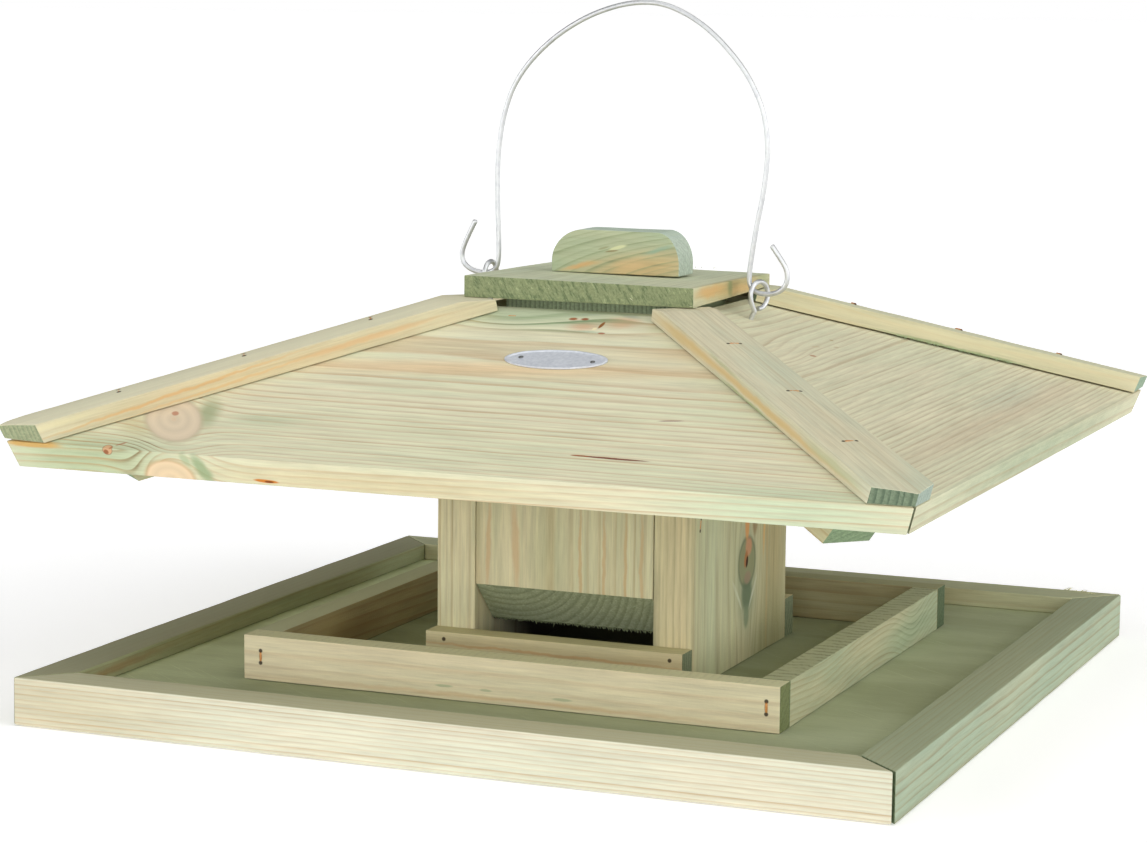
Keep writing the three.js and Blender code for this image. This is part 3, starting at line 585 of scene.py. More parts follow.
roof_mats = {
    "roof_panel_front": pine(
        "pine_roof_front", (116, -112), ring=2.35, late=(198, 166, 126), contrast=0.74, warp=0.9, tilt=0.85, seed=1.0,
        early=(226, 222, 191), tint=(212, 219, 185), jitter=1.8,
        flows=[((-137, 31, 0), (31, 16, 40), 0.84, (0, 0, -51.8)), ((-124, 0, -13.0), (20, 16, 13), 0.80),
               ((20, 149, 0), (22, 15, 20), 0.75)],
        dips=[((-141, 0, -28), (12, 17, 26), 5.0), ((-30, 150, 0), (26, 14, 20), 3.0)],
        zones=[((-158, 0, -6), (36, 15, 16), (182, 138, 88), 1.35), ((-140, 6, -6), (13, 13, 16), (128, 106, 66), 1.3),
               ((-8, 150, 0), (46, 17, 20), (140, 158, 120), 1.7)],
        knots=[((-136.9, 30.8, 0), (24.2, 11.7, 6), (0, 0, -51.8), ((221, 204, 176), (190, 176, 146), (214, 190, 158)), 5.2),
               ((-153.0, 0.6, -0.9), (2.2, 3.0, 2.2), (0, 0, 24), ((212, 170, 128), (104, 62, 38), (196, 144, 102)), 1.0),
               ((-124.2, 0, -13.0), (12.0, 10.0, 9.4), (0, 0, 0), ((229, 205, 168), (196, 160, 116), (206, 178, 140)), 4.4)],
        blots=[((-40, -2, -6), (130, 4.5, 15), (0, 0, 0), (212, 214, 182), 0.5, 0.9),
               ((-165, 0, -6), (48, 13, 15), (0, 0, 0), (182, 196, 158), 0.95, 0.9),
               ((-150, 22, 0), (16, 9, 8), (0, 0, -40), (202, 196, 152), 0.7, 0.9),
               ((-20, 97, 0), (125, 9, 8), (0, 0, 4), (230, 204, 162), 0.85, 0.9),
               ((70, 122, 0), (42, 8, 8), (0, 0, 4), (216, 194, 154), 0.5, 0.9),
               ((-20, 155, 0), (62, 11, 8), (0, 0, 6), (176, 190, 156), 0.75, 0.9),
               ((9.5, 145.5, 0), (8, 6, 6), (0, 0, 0), (222, 186, 152), 0.95, 0.88),
               ((6, 157.2, 0), (9, 2.0, 2), (0, 0, 14), (156, 174, 148), 0.6, 0.86),
               ((12.5, 139.6, 0), (9, 1.4, 2), (0, 0, 2), (164, 188, 160), 0.6, 0.86),
               ((28, 157.4, 0), (5, 1.9, 2), (0, 0, -14), (152, 170, 156), 0.6, 0.86),
               ((25.5, 151, 0), (9, 6.5, 6), (0, 0, 0), (222, 182, 146), 0.95, 0.88),
               ((48, 150, 0), (9, 7, 6), (0, 0, 30), (196, 196, 152), 0.6, 0.9),
               ((-124, 39, 0), (6.0, 16, 6), (0, 0, 22), (160, 168, 130), 0.85, 0.8),
               ((150, 0, -6), (56, 13, 15), (0, 0, 0), (198, 212, 180), 0.85, 0.9),
               ((-96, 36, 0), (20, 5.5, 6), (0, 0, 0), (182, 192, 160), 0.6, 0.9),
               ((-124, 14, 0), (7, 2.6, 4), (0, 0, 40), (148, 160, 124), 0.6, 0.7),
               ((-107.8, 0, -6.8), (3.4, 4, 9.0), (0, -34, 0), (142, 164, 122), 0.8, 0.6),
               ((-115.6, 0, -3.0), (2.0, 4, 4.5), (0, -40, 0), (160, 178, 138), 0.6, 0.6),
               ((26, 160.5, 0), (66, 2.4, 6), (0, 0, 0), (118, 130, 92), 0.7, 0.8),
               ((69, 23.0, 0), (17.2, 0.75, 1.6), (0, 0, -1.4), (120, 62, 46), 0.95, 0.25),
               ((55.5, 23.4, 0), (4.5, 0.7, 1.4), (0, 0, 0), (158, 96, 58), 0.9, 0.3),
               ((82.0, 59.3, 0), (5.6, 0.65, 1.4), (0, 0, 8), (152, 118, 108), 0.8, 0.4),
               ((17.4, 147.3, 0), (0.95, 3.7, 1.4), (0, 0, -4), (138, 84, 34), 0.97, 0.4),
               # painted highlight at the lower end of the knot's slit
               ((15.6, 143.2, 0), (1.1, 1.5, 1.4), (0, 0, -10), (236, 224, 182), 0.95, 0.5),
               ((20.5, 139.0, 0), (1.8, 1.0, 1.4), (0, 0, 0), (164, 92, 60), 0.8, 0.4),
               ((-138.9, 36.1, 0), (2.6, 1.6, 2), (0, 0, -51.8), (188, 138, 110), 0.95, 0.45),
               ((-148.6, 5.0, 0), (2.8, 0.7, 1.2), (0, 0, 42), (168, 120, 88), 0.85, 0.4),
               ((-78.2, 0, -10), (6.0, 1.6, 0.85), (0, 2, 0), (200, 118, 30), 0.95, 0.35),
               ((-153.6, 0.6, -1.8), (1.3, 3, 1.2), (0, 20, 0), (146, 86, 54), 0.9, 0.4),
               ((-150.6, 0.6, 0.6), (2.0, 3, 0.5), (0, -30, 0), (170, 110, 70), 0.8, 0.4),
               ((-30, 0, -8), (110, 3, 7.0), (0, 0, 0), (212, 196, 152), 0.6, 0.9),
               ((-77.0, 0, -10.2), (2.2, 1.4, 0.5), (0, 2, 0), (112, 54, 22), 0.9, 0.3),
               ((-190, 0, -0.6), (15, 3, 1.7), (0, 0, 0), (206, 160, 84), 0.85, 0.5),
               ((2.0, 152.2, 0), (2.3, 1.5, 1), (0, 0, 0), (158, 94, 56), 0.95, 0.5),
               # painted glint of the staple's metal between its two rust marks
               ((4.8, 152.3, 0), (1.3, 1.1, 1), (0, 0, 0), (214, 198, 176), 0.9, 0.5),
               ((7.4, 152.7, 0), (1.9, 1.4, 1), (0, 0, 0), (150, 86, 54), 0.95, 0.5)]),
    "roof_panel_right": pine(
        "pine_roof_right", (196, -104), ring=2.5, late=(176, 152, 118), early=(220, 215, 184), tint=(209, 213, 181),
        contrast=0.55, warp=0.9, tilt=-0.3, seed=2.0, end=(190, 190, 160),
        flows=[((-48, 132, 0), (30, 20, 20), 0.6)],
        blots=[((0, -2, -6), (235, 4.5, 15), (0, 0, 0), (158, 172, 142), 0.9, 0.9),
               ((0, 24, 0), (230, 10, 8), (0, 0, 0), (206, 188, 160), 0.55, 0.9),
               ((60, 34, 0), (60, 9, 8), (0, 0, 0), (196, 202, 178), 0.5, 0.9),
               ((-22.0, 106.5, 0), (2.4, 1.3, 1.5), (0, 0, -20), (178, 128, 96), 0.8, 0.55),
               ((-2, 112, 0), (4.0, 0.8, 1.5), (0, 0, -12), (196, 178, 140), 0.6, 0.5),
               ((14, 107, 0), (2.4, 0.8, 1.5), (0, 0, -12), (186, 164, 128), 0.6, 0.5),
               ((24.0, 113, 0), (1.6, 1.0, 1.5), (0, 0, 0), (170, 150, 108), 0.7, 0.5)]),
    "roof_panel_back": pine("pine_roof_back", (60, -120), ring=3.8, late=(196, 164, 126), contrast=0.55, seed=3.0, warp=1.4,
                            flows=[((90, 60, 0), (26, 24, 20), 0.8)],
                            knots=[((90, 60, 0), (8, 12, 6), (0, 0, 0), ((196, 158, 116), (156, 116, 80), (140, 92, 62)), 3.0)]),
    "roof_panel_left": pine("pine_roof_left", (130, -90), ring=3.6, late=(200, 168, 128), contrast=0.55, seed=4.0, warp=1.3,
                            flows=[((-60, 90, 0), (22, 20, 20), 0.8)],
                            knots=[((-60, 90, 0), (6, 9, 6), (0, 0, 0), ((204, 172, 132), (160, 122, 88), (150, 100, 70)), 2.6)]),
}
for k, side in enumerate(("front", "right", "back", "left")):
    node = f"roof_panel_{side}"
    mt = PANEL[k]
    plank(node, mt, roof_mats[node], edge=0.45, step=8, cross=12, amount=0.12, seed=k + 1.0)

# battens over and under the hips
def hip_frame(corner):
    sx, sy = HIP[corner]
    n, al = hip_axes(sx, sy)
    return axes(hip_at(sx, sy, 50), al, n.cross(al))


bat_mats = {
    "front_right": pine("pine_batten_fr", (-60, -46), ring=1.9, late=(188, 176, 140), early=(215, 207, 177), tint=(200, 206, 180),
                        contrast=0.50, warp=0.9, tilt=0.3, seed=5.0, tint_amount=0.9, end=(124, 140, 114), end_late=(66, 86, 68),
                        end_right=(164, 180, 166), end_centre=(-90, 0, 2.0), end_contrast=0.6,
                        blots=[((110, -14, 0.6), (92, 2.2, 2.2), (0, 0.8, 0), (208, 176, 116), 0.72, 0.7),
                               ((34, -14, 0.8), (34, 2.2, 3.0), (0, 0, 0), (206, 180, 124), 0.7, 0.7),
                               ((74, -14, 4.0), (20, 2.0, 1.1), (0, 3, 0), (166, 172, 132), 0.5, 0.7),
                               ((112, -14, -3.0), (46, 2.0, 1.1), (0, 1, 0), (150, 164, 112), 0.75, 0.7),
                               ((178, -14, 1.2), (26, 2.0, 2.4), (0, 1, 0), (180, 186, 144), 0.6, 0.7)],
                        pits=pits_in(hip_frame("front_right"), "hip_staple_front_right", 0.85)),
    "front_left": pine("pine_batten_fl", (60, -30), ring=2.4, late=(196, 172, 134), early=(213, 205, 172), tint=(203, 206, 176),
                       contrast=0.35, warp=1.0, seed=6.0, end=(162, 168, 132), end_late=(122, 138, 104), end_centre=(70, 0, 1.7),
                       end_contrast=0.5, top=((222, 218, 190), 0.55), pits=pits_in(hip_frame("front_left"), "hip_staple_front_left", 1.15),
                       blots=[((110, 14, 1), (120, 2.2, 6), (0, 0, 0), (211, 192, 150), 0.75, 0.9),
                              ((150, 14, 1.9), (66, 2.2, 0.85), (0, 2.7, 0), (214, 166, 104), 0.62, 0.7),
                              ((128, 14, -0.6), (50, 2.2, 0.7), (0, 2.4, 0), (214, 176, 122), 0.6, 0.7),
                              ((60, 14, 1.6), (40, 2.2, 1.6), (0, 1.0, 0), (216, 176, 126), 0.6, 0.7),
                              ((205, 14, 3.6), (22, 2.2, 1.6), (0, 2.0, 0), (216, 206, 164), 0.7, 0.7)]),
    "back_right": pine("pine_batten_br", (-70, -20), ring=2.6, late=(206, 182, 132), early=(208, 199, 163), tint=(198, 198, 162),
                       contrast=0.45, warp=1.2, seed=7.0, end=(160, 180, 156), end_late=(120, 146, 120), end_centre=(80, 0, 2.6),
                       top=((206, 208, 178), 0.7),
                       blots=[((120, -14, 2.5), (110, 2.2, 2.2), (0, 0, 0), (214, 206, 168), 0.5, 0.8),
                              ((104, -14, -2.0), (52, 2.2, 1.0), (0, 0, 0), (136, 152, 108), 0.75, 0.7)]),
    "back_left": pine("pine_batten_bl", (80, 4), ring=2.6, late=(190, 168, 126), contrast=0.45, warp=1.2, seed=8.0,
                      end_centre=(80, 0, 2.6)),
}
for i, (corner, (sx, sy)) in enumerate(HIP.items()):
    n, al = hip_axes(sx, sy)
    start = hip_at(sx, sy, 50)
    y = n.cross(al)
    mt = axes(start, al, y)
    z = LIFT[corner]
    w = 14.0
    head = (UPPER[corner] - 50) * math.sqrt(2) / math.cos(GAMMA)
    length = (EAVE + 20 - 50) * math.sqrt(2) / math.cos(GAMMA)
    foot = min(z, 0.45 if corner != "back_right" else 0.7) - FALL * w
    prof = [(0, z + 6.3), (-5, z + 5.95), (-w, z + 4.6), (-w, foot), (0, z), (w, foot), (w, z + 4.6), (5, z + 5.95)]
    bm = bmesh.new()
    a = [bm.verts.new((head * MM, yy * MM, zz * MM)) for yy, zz in prof]
    b = [bm.verts.new((length * MM, yy * MM, zz * MM)) for yy, zz in prof]
    for k in range(len(prof)):
        kk = (k + 1) % len(prof)
        bm.faces.new((a[k], a[kk], b[kk], b[k]))
    bm.faces.new(list(reversed(a)))
    bm.faces.new(b)
    bm.transform(mt)
    for co, no in (((sx * EAVE, 0, EAVE_Z), (sx * COS, 0, -SIN)), ((0, sy * EAVE, EAVE_Z), (0, sy * COS, -SIN)),
                   ((0, 52.6, 183.45), (0, -1.4 / 105, 1))):
        res = bmesh.ops.bisect_plane(bm, geom=bm.verts[:] + bm.edges[:] + bm.faces[:], plane_co=Vector(co) * MM,
                                     plane_no=Vector(no).normalized(), clear_outer=True, dist=1e-7)
        edges = [e for e in res["geom_cut"] if isinstance(e, bmesh.types.BMEdge)]
        bmesh.ops.edgenet_fill(bm, edges=edges)
    bm.transform(mt.inverted())
    bmesh.ops.recalc_face_normals(bm, faces=bm.faces)
    bevel(bm, 0.55)
    slices(bm, 6, 0)
    wander(bm, 0.25, 25, seed=i * 3.0 + 2)
    finish_mesh(bm, f"hip_batten_{corner}_wood", mt, bat_mats[corner], "table", [f"hip_batten_{corner}"], 30, rest=True)

    mt = axes(hip_at(sx, sy, 120) - n * 25, al, y)
    mat = pine(f"pine_rafter_{corner}", (30 - 9 * i, -40), ring=3.2, late=(180, 150, 104), early=(210, 200, 160),
               tint=(186, 194, 156), contrast=0.5, seed=9.0 + i, end=(142, 164, 128), end_late=(110, 134, 102))
    plank(f"hip_rafter_{corner}", mt, mat, edge=0.5, amount=0.25, seed=i + 8.0)

# tray rails keep the groove for the floor, so they start from the frame's own shape
rail_mats = {
    "front": pine("pine_rail_front", (42, -72), ring=1.8, late=(200, 176, 140), early=(221, 217, 194), tint=(210, 215, 194),
                  contrast=0.85, seed=14.0, warp=0.45, jitter=1.6, top=((180, 178, 146), 0.8), fibre=0.12,
                  blots=[((-180, 0, 0), (74, 4, 16), (0, 0, 0), (196, 188, 156), 0.6, 0.9)]),
    "right": pine("pine_rail_right", (-60, 36), ring=2.2, late=(142, 122, 84), early=(168, 177, 150), tint=(156, 174, 150),
                  contrast=0.68, seed=15.0, warp=1.2, tint_amount=0.7, top=((162, 167, 136), 0.6)),
    "back": pine("pine_rail_back", (50, 30), ring=3.2, late=(166, 138, 98), early=(190, 182, 144), contrast=0.45, seed=16.0,
                 top=((172, 178, 146), 0.7)),
    "left": pine("pine_rail_left", (50, -30), ring=2.6, late=(142, 128, 90), early=(170, 170, 132), tint=(152, 164, 128),
                 contrast=0.55, seed=17.0, top=((152, 150, 124), 0.78),
                 blots=[((150, 20.6, 6), (60, 3, 2.2), (0, 1.5, 0), (150, 110, 66), 0.5, 0.8)]),
}
for k, side in enumerate(("front", "right", "back", "left")):
    node = f"tray_rail_{side}"
    mt = Matrix.Translation((-0.0027, -0.001, 0)) @ ROT[k] @ axes((0, -200, 10.75), (1, 0, 0), (0, 1, 0))
    bm = bmesh.new()
    bm.from_mesh(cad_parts[node].data)
    bmesh.ops.remove_doubles(bm, verts=bm.verts, dist=1e-6)
    bmesh.ops.dissolve_limit(bm, angle_limit=math.radians(1.0), verts=bm.verts, edges=bm.edges)
    bm.transform(mt.inverted())
    bmesh.ops.recalc_face_normals(bm, faces=bm.faces)
    bevel(bm, 0.7)
    slices(bm, 8, 0)
    wander(bm, 0.3, 30, seed=k + 20.0)
    bb = [Vector(c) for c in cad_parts[node].bound_box]
    lo = Vector([min(c[i] for c in bb) for i in range(3)])
    hi = Vector([max(c[i] for c in bb) for i in range(3)])

    def inside(v):
        for i in range(3):
            v.co[i] = min(max(v.co[i], lo[i]), hi[i])
    finish_mesh(bm, node + "_wood", mt, rail_mats[side], "table", [node], rest=True, fix=inside)

# inner trough
TROUGH = {"front": ((0, -120.5), (1, 0, 0), (0, 1, 0)), "back": ((0, 120.5), (-1, 0, 0), (0, -1, 0)),
          "left": ((-120.5, 0), (0, -1, 0), (1, 0, 0)), "right": ((120.5, 0), (0, 1, 0), (-1, 0, 0))}
TROUGH_FRAME = {k: axes((tr[0] + v[0][0], tr[1] + v[0][1], 23.1), v[1], v[2]) for k, v in TROUGH.items()}
tr_mats = {
    "front": pine("pine_trough_front", (34, -44), ring=4.2, late=(206, 174, 130), early=(232, 220, 186), tint=(222, 218, 184),
                  contrast=0.28, seed=21.0, end=(124, 132, 88), end_late=(92, 104, 70), top=((214, 213, 178), 0.85), fibre=0.14,
                  saw_dark=(0.12, 3.4, 1.0),
                  blots=[((0, -6.5, -7.5), (120, 2, 1.2), (0, 0, 0), (212, 180, 132), 0.5, 0.8),
                         ((-28, -6.5, -4.0), (4.5, 2, 0.7), (0, 0, 0), (176, 184, 146), 0.8, 0.5),
                         ((-8, -6.5, -4.3), (3, 2, 0.6), (0, 0, 0), (176, 184, 146), 0.7, 0.5),
                         ((28, -6.5, -5.0), (5, 2, 0.7), (0, 0, 0), (172, 182, 144), 0.7, 0.5),
                         ((-118.4, -6.5, 0.6), (0.75, 2, 2.6), (0, 0, 0), (122, 78, 48), 0.9, 0.5),
                         ((120.7, -6.5, 0.6), (0.75, 2, 2.6), (0, 0, 0), (122, 78, 48), 0.9, 0.5)],
                  pits=pits_in(TROUGH_FRAME["front"], "trough_staple_front", 1.0)),
    "right": pine("pine_trough_right", (-34, -58), ring=2.4, late=(152, 136, 96), early=(192, 190, 154), tint=(166, 180, 148),
                  contrast=0.55, seed=22.0, tint_amount=0.8, top=((176, 180, 146), 0.85), saw_dark=(0.5, 6.2, 1.0), tilt=-0.6,
                  dips=[((72, -6.5, 0), (26, 12, 40), 9.0), ((-64, -6.5, 0), (40, 12, 40), 4.0)],
                  zones=[((70, -6.5, 0), (46, 8, 14), (120, 136, 100), 1.2)],
                  blots=[((60, -6.5, -2), (52, 4, 9), (0, 0, 0), (168, 182, 148), 0.7, 0.9)]),
    "back": pine("pine_trough_back", (30, 30), ring=3.6, late=(140, 112, 72), early=(168, 156, 118), contrast=0.45, seed=23.0,
                 end=(96, 112, 82), end_late=(76, 92, 66), top=((160, 164, 130), 0.7),
                 pits=pits_in(TROUGH_FRAME["back"], "trough_staple_back", 1.0)),
    "left": pine("pine_trough_left", (24, -30), ring=3.8, late=(128, 92, 58), early=(160, 146, 108), tint=(150, 148, 110),
                 contrast=0.55, seed=24.0, tilt=1.6, top=((192, 196, 164), 0.85),
                 blots=[((70, 6.5, 2), (30, 3, 9), (0, 0, 0), (176, 158, 112), 0.7, 0.8), ((40, 6.5, -2), (34, 3, 6), (0, 0, 0), (120, 92, 52), 0.5, 0.8)]),
}
for side, mt in TROUGH_FRAME.items():
    plank(f"trough_rail_{side}", mt, tr_mats[side], edge=0.6, amount=0.3, seed=len(side) * 1.7)

# hopper
hop = dict(late=(180, 156, 110), early=(228, 218, 180), tint=(208, 211, 174), contrast=0.55, warp=1.0, streak=0.3,
           streak_col=(184, 187, 150), fibre=0.17)
HOP_R = axes((hx + 52.95, hy, 0), (0, 0, 1), (0, 1, 0))
side_r = pine("pine_hopper_right", (-30, 60), ring=2.8, seed=31.0, end=(110, 120, 84), tint_amount=0.7,
              flows=[((60, 7.5, -9.5), (36, 20, 12), 0.88)],
              zones=[((60, 7.5, -9.5), (70, 34, 6), (160, 150, 110), 1.25)],
              knots=[((59.5, 7.4, -9.5), (11.6, 11.6, 5), (0, 0, 0), ((152, 154, 116), (78, 92, 64), (146, 142, 106)), 1.4)],
              blots=[((70, 46, -9.5), (150, 22, 5), (0, 0, 0), (190, 176, 130), 0.9, 0.9),
                     ((16, 40, -9.5), (34, 34, 5), (0, 0, 0), (150, 152, 112), 0.7, 0.9),
                     ((100, -40, -9.5), (150, 22, 4.5), (0, 0, 0), (214, 219, 182), 0.8, 0.9),
                     ((90, -64.5, 0), (160, 3.5, 14), (0, 0, 0), (232, 214, 172), 0.75, 0.9),
                     ((52, 7.2, -9.5), (28, 16.5, 4), (0, 0, 0), (150, 160, 130), 0.8, 0.75),
                     ((44.5, 7.6, -9.5), (9, 8.0, 4), (0, 0, 0), (104, 120, 92), 0.9, 0.55),
                     ((34.0, 7.2, -9.5), (6, 4.0, 4), (0, 0, 0), (126, 140, 110), 0.8, 0.55),
                     ((77.5, 7.0, -9.5), (8.5, 3.2, 3), (0, 0, 0), (222, 160, 96), 0.9, 0.5),
                     ((77.5, 18.0, -9.5), (7.5, 4.0, 3), (0, 0, 0), (150, 120, 78), 0.7, 0.55),
                     ((66.5, 9.6, -9.5), (4.6, 4.8, 3), (0, 0, 0), (206, 150, 112), 0.85, 0.5),
                     ((61.0, 6.0, -9.5), (4.4, 2.6, 2), (0, 0, 20), (176, 112, 62), 0.85, 0.5),
                     ((59.6, 7.4, -9.5), (3.0, 1.5, 2), (0, 0, 18), (60, 28, 16), 0.97, 0.35),
                     ((52.0, 8.4, -9.5), (3.2, 5.0, 2), (0, 0, 0), (160, 138, 114), 0.8, 0.5),
                     ((48.0, -7.5, -9.5), (8.6, 1.2, 2), (0, 0, -43), (212, 214, 188), 0.45, 0.55),
                     ((43.5, -3.5, -9.5), (7.0, 1.0, 2), (0, 0, -40), (206, 210, 182), 0.6, 0.5),
                     ((46.0, 18.0, -9.5), (8.0, 1.2, 2), (0, 0, 36), (212, 214, 188), 0.4, 0.55),
                     ((41.5, 14.0, -9.5), (6.0, 1.0, 2), (0, 0, 34), (206, 210, 182), 0.55, 0.5),
                     ((72, 31.5, -9.5), (14, 2.0, 2), (0, 0, 3), (222, 178, 112), 0.7, 0.6),
                     ((60, 36.0, -9.5), (62, 1.6, 2), (0, 0, -0.5), (186, 160, 112), 0.5, 0.6),
                     # painted shade: the dark inside of the hopper on this board's inner face
                     ((30, 9, 9.55), (60, 90, 4), (0, 0, 0), (40, 36, 24), 0.9, 0.8)],
              pits=pits_in(HOP_R, "hopper_side_staple", 0.9),
              **{**hop, "late": (172, 160, 120), "early": (214, 208, 168), "tint": (204, 206, 166), "streak": 0.15})
side_l = pine("pine_hopper_left", (-30, 40), ring=2.8, seed=32.0, end=(110, 120, 84),
              # painted shade: the dark inside of the hopper on this board's inner face
              blots=[((40, 42, -9.55), (62, 70, 1.7), (0, 0, 0), (30, 28, 18), 0.97, 0.45)], **hop)
plank("hopper_side_right", HOP_R, side_r, edge=0.6, seed=3.0)
plank("hopper_side_left", axes((hx - 52.95, hy, 0), (0, 0, 1), (0, 1, 0)), side_l, edge=0.6, seed=4.0)
front = pine("pine_hopper_front", (-26, 60), ring=2.9, seed=33.0, end=(176, 184, 148), end_late=(128, 138, 106),
             end_centre=(-30, -38, 3.2), end_contrast=0.62, scratch=(34, (150, 158, 126), (190, 198, 164)),
             blots=[((140, 0, -9.5), (46, 60, 5), (0, 0, 0), (232, 224, 190), 0.6, 0.9),
                    ((72, -37.0, -9.5), (24, 1.3, 3), (0, 0, 2), (208, 172, 128), 0.6, 0.6),
                    ((72, -23.5, -9.5), (24, 2.0, 3), (0, 0, -3), (210, 176, 132), 0.6, 0.6),
                    ((66, 8.0, -9.5), (30, 0.9, 3), (0, 0, 0), (206, 168, 118), 0.55, 0.6),
                    ((66, 19.5, -9.5), (30, 1.0, 3), (0, 0, 0), (206, 168, 118), 0.55, 0.6),
                    ((66, 30.0, -9.5), (30, 0.8, 3), (0, 0, 0), (206, 168, 118), 0.5, 0.6),
                    ((66, 37.6, -9.5), (30, 0.9, 3), (0, 0, 0), (206, 168, 118), 0.5, 0.6),
                    ((66, -8.0, -9.5), (34, 12, 3), (0, 0, 0), (190, 196, 156), 0.5, 0.9)], **hop)
back = pine("pine_hopper_back", (14, 52), ring=3.2, seed=34.0, end=(124, 130, 100),
            # painted shade: the dark inside of the hopper on this board's inner face
            blots=[((40, 0, 9.55), (90, 80, 4), (0, 0, 0), (30, 28, 18), 0.97, 0.8)], **hop)
plank("hopper_front", axes((hx, hy - 54.95, 0), (0, 0, 1), (1, 0, 0)), front, edge=0.4, seed=5.0)
plank("hopper_back", axes((hx, hy + 54.95, 0), (0, 0, 1), (-1, 0, 0)), back, edge=0.4, seed=6.0)
for end, sy in (("front", -1), ("back", 1)):
    mt = axes((hx, hy + sy * 70.95, 22.5), (1, 0, 0), (0, 1, 0))
    slat = pine(f"pine_slat_{end}", (40 * sy, 20), ring=3.2, late=(186, 158, 112), early=(226, 210, 168), tint=(206, 205, 166),
                contrast=0.5, seed=35.0 + sy, end=(134, 142, 112), end_late=(104, 116, 90), top=((190, 189, 150), 0.5),
                end_centre=(30, 10, 2.4),
                blots=[((0, 6.4, 2.2), (80, 4, 0.9), (0, 0.6, 0), (202, 158, 108), 0.6, 0.6),
                       ((0, -6.4, 3.6), (80, 4, 0.8), (0, 0.6, 0), (202, 160, 112), 0.6, 0.6),
                       ((0, -6.4, -1.0), (80, 4, 1.6), (0, 0.6, 0), (200, 172, 124), 0.5, 0.7)],
                pits=pits_in(mt, f"slat_staple_{end}", 1.05))
    plank(f"seed_slat_{end}", mt, slat, edge=0.5, seed=7.5 + sy)

# lid
lid = pine("pine_lid", (30, 60), ring=3.0, late=(160, 162, 122), early=(206, 209, 178), tint=(192, 202, 174), contrast=0.32,
           seed=41.0, end=(144, 154, 114), end_late=(112, 124, 88), warp=1.5, end_right=(150, 160, 120), end_contrast=0.45,
           scratch=(-58, (92, 108, 76), (184, 192, 150)),
           blots=[((0, -56, 0), (60, 4, 9), (0, 0, 0), (184, 166, 114), 0.98, 0.9),
                  ((-30, -56, 0.6), (22, 3, 3.2), (0, 0, 0), (206, 166, 108), 0.8, 0.7),
                  ((14, -56, -1.5), (22, 3, 2.6), (0, 0, 0), (204, 172, 118), 0.7, 0.7),
                  ((-4, -56, 1.0), (4, 3, 6), (0, 0, 0), (134, 142, 96), 0.8, 0.7),
                  ((42, -56, 1.0), (9, 3, 4), (0, 0, 0), (160, 170, 128), 0.6, 0.7)])
plank("lid_board", axes((0.6, 0.1, 187.45), (0, 1, 0), (-1, 0, 0)), lid, body="lid", edge=0.6, step=5, cross=5, seed=9.0)
plug = pine("pine_plug", (90, 10), ring=5.8, late=(112, 120, 84), early=(176, 186, 148), tint=(158, 172, 134), contrast=0.6,
            seed=42.0, end=(196, 212, 170), end_late=(104, 120, 88), warp=1.0, end_centre=(60, 0, 2.2), end_contrast=0.5)
place(plug, axes((0.6, 0.1, 180), (0, 1, 0), (-1, 0, 0)))
plug_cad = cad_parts["lid_plug"]
plug_cad.data.materials.clear()
plug_cad.data.materials.append(plug)

grip = pine("pine_grip", (-34, -14), ring=2.1, late=(138, 150, 112), early=(184, 190, 156), tint=(164, 186, 154), contrast=0.66,
            tint_amount=0.95, seed=43.0, end=(184, 196, 180), end_late=(160, 178, 158), warp=1.6, tilt=-16, top=((182, 199, 186), 0.75),
            blots=[((13, -9.5, 3.0), (35, 3, 8.6), (0, -8, 0), (204, 180, 132), 0.98, 0.86),
                   ((-17, -9.5, 3.4), (11, 3, 1.5), (0, -14, 0), (216, 172, 116), 0.8, 0.8),
                   ((8, -9.5, 4.6), (9, 3, 3.4), (0, -10, 0), (216, 184, 136), 0.6, 0.8),
                   ((22, -9.5, 12.2), (8, 3, 1.2), (0, -16, 0), (144, 176, 154), 0.6, 0.7),
                   ((1.5, -9.5, 12.4), (4.8, 2, 0.85), (0, -16, 0), (214, 216, 170), 0.9, 0.5),
                   ((-1.5, -9.5, 10.6), (3.4, 2, 0.45), (0, -8, 0), (140, 126, 84), 0.8, 0.5),
                   ((-5.6, -9.5, 12.0), (3.0, 2, 0.5), (0, -14, 0), (146, 144, 104), 0.6, 0.5)])
bm = bmesh.new()
A = 31.85
prof = [(-A, 0)]
for k in range(25):
    t = math.pi - math.pi / 2 * k / 24
    prof.append((-A + 16.3 + 16.3 * math.cos(t), 4.8 + 15.5 * math.sin(t)))
for k in range(25):
    t = math.pi / 2 - math.pi / 2 * k / 24
    prof.append((A - 11.5 + 11.5 * math.cos(t), 4.8 + 15.5 * math.sin(t)))
prof.append((A, 0))
fr = [bm.verts.new((px * MM, -9.55 * MM, pz * MM)) for px, pz in prof]
bk = [bm.verts.new((px * MM, 9.55 * MM, pz * MM)) for px, pz in prof]
for k in range(len(prof)):
    kk = (k + 1) % len(prof)
    bm.faces.new((fr[k], bk[k], bk[kk], fr[kk]))
bm.faces.new(fr)
bm.faces.new(list(reversed(bk)))
bmesh.ops.recalc_face_normals(bm, faces=bm.faces)
bevel(bm, 0.7)
slices(bm, 4, 0)
wander(bm, 0.25, 20, seed=50.0)
finish_mesh(bm, "lid_handle_wood", axes((0.3, 3.6, 191.4), (1, 0, 0), (0, 1, 0)), grip, "lid", ["lid_handle"], 35, rest=True)

# plywood floor keeps the frame's shape
ply = plywood("ply_floor")
floor_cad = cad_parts["tray_floor"]
floor_cad.data.materials.clear()
floor_cad.data.materials.append(ply)


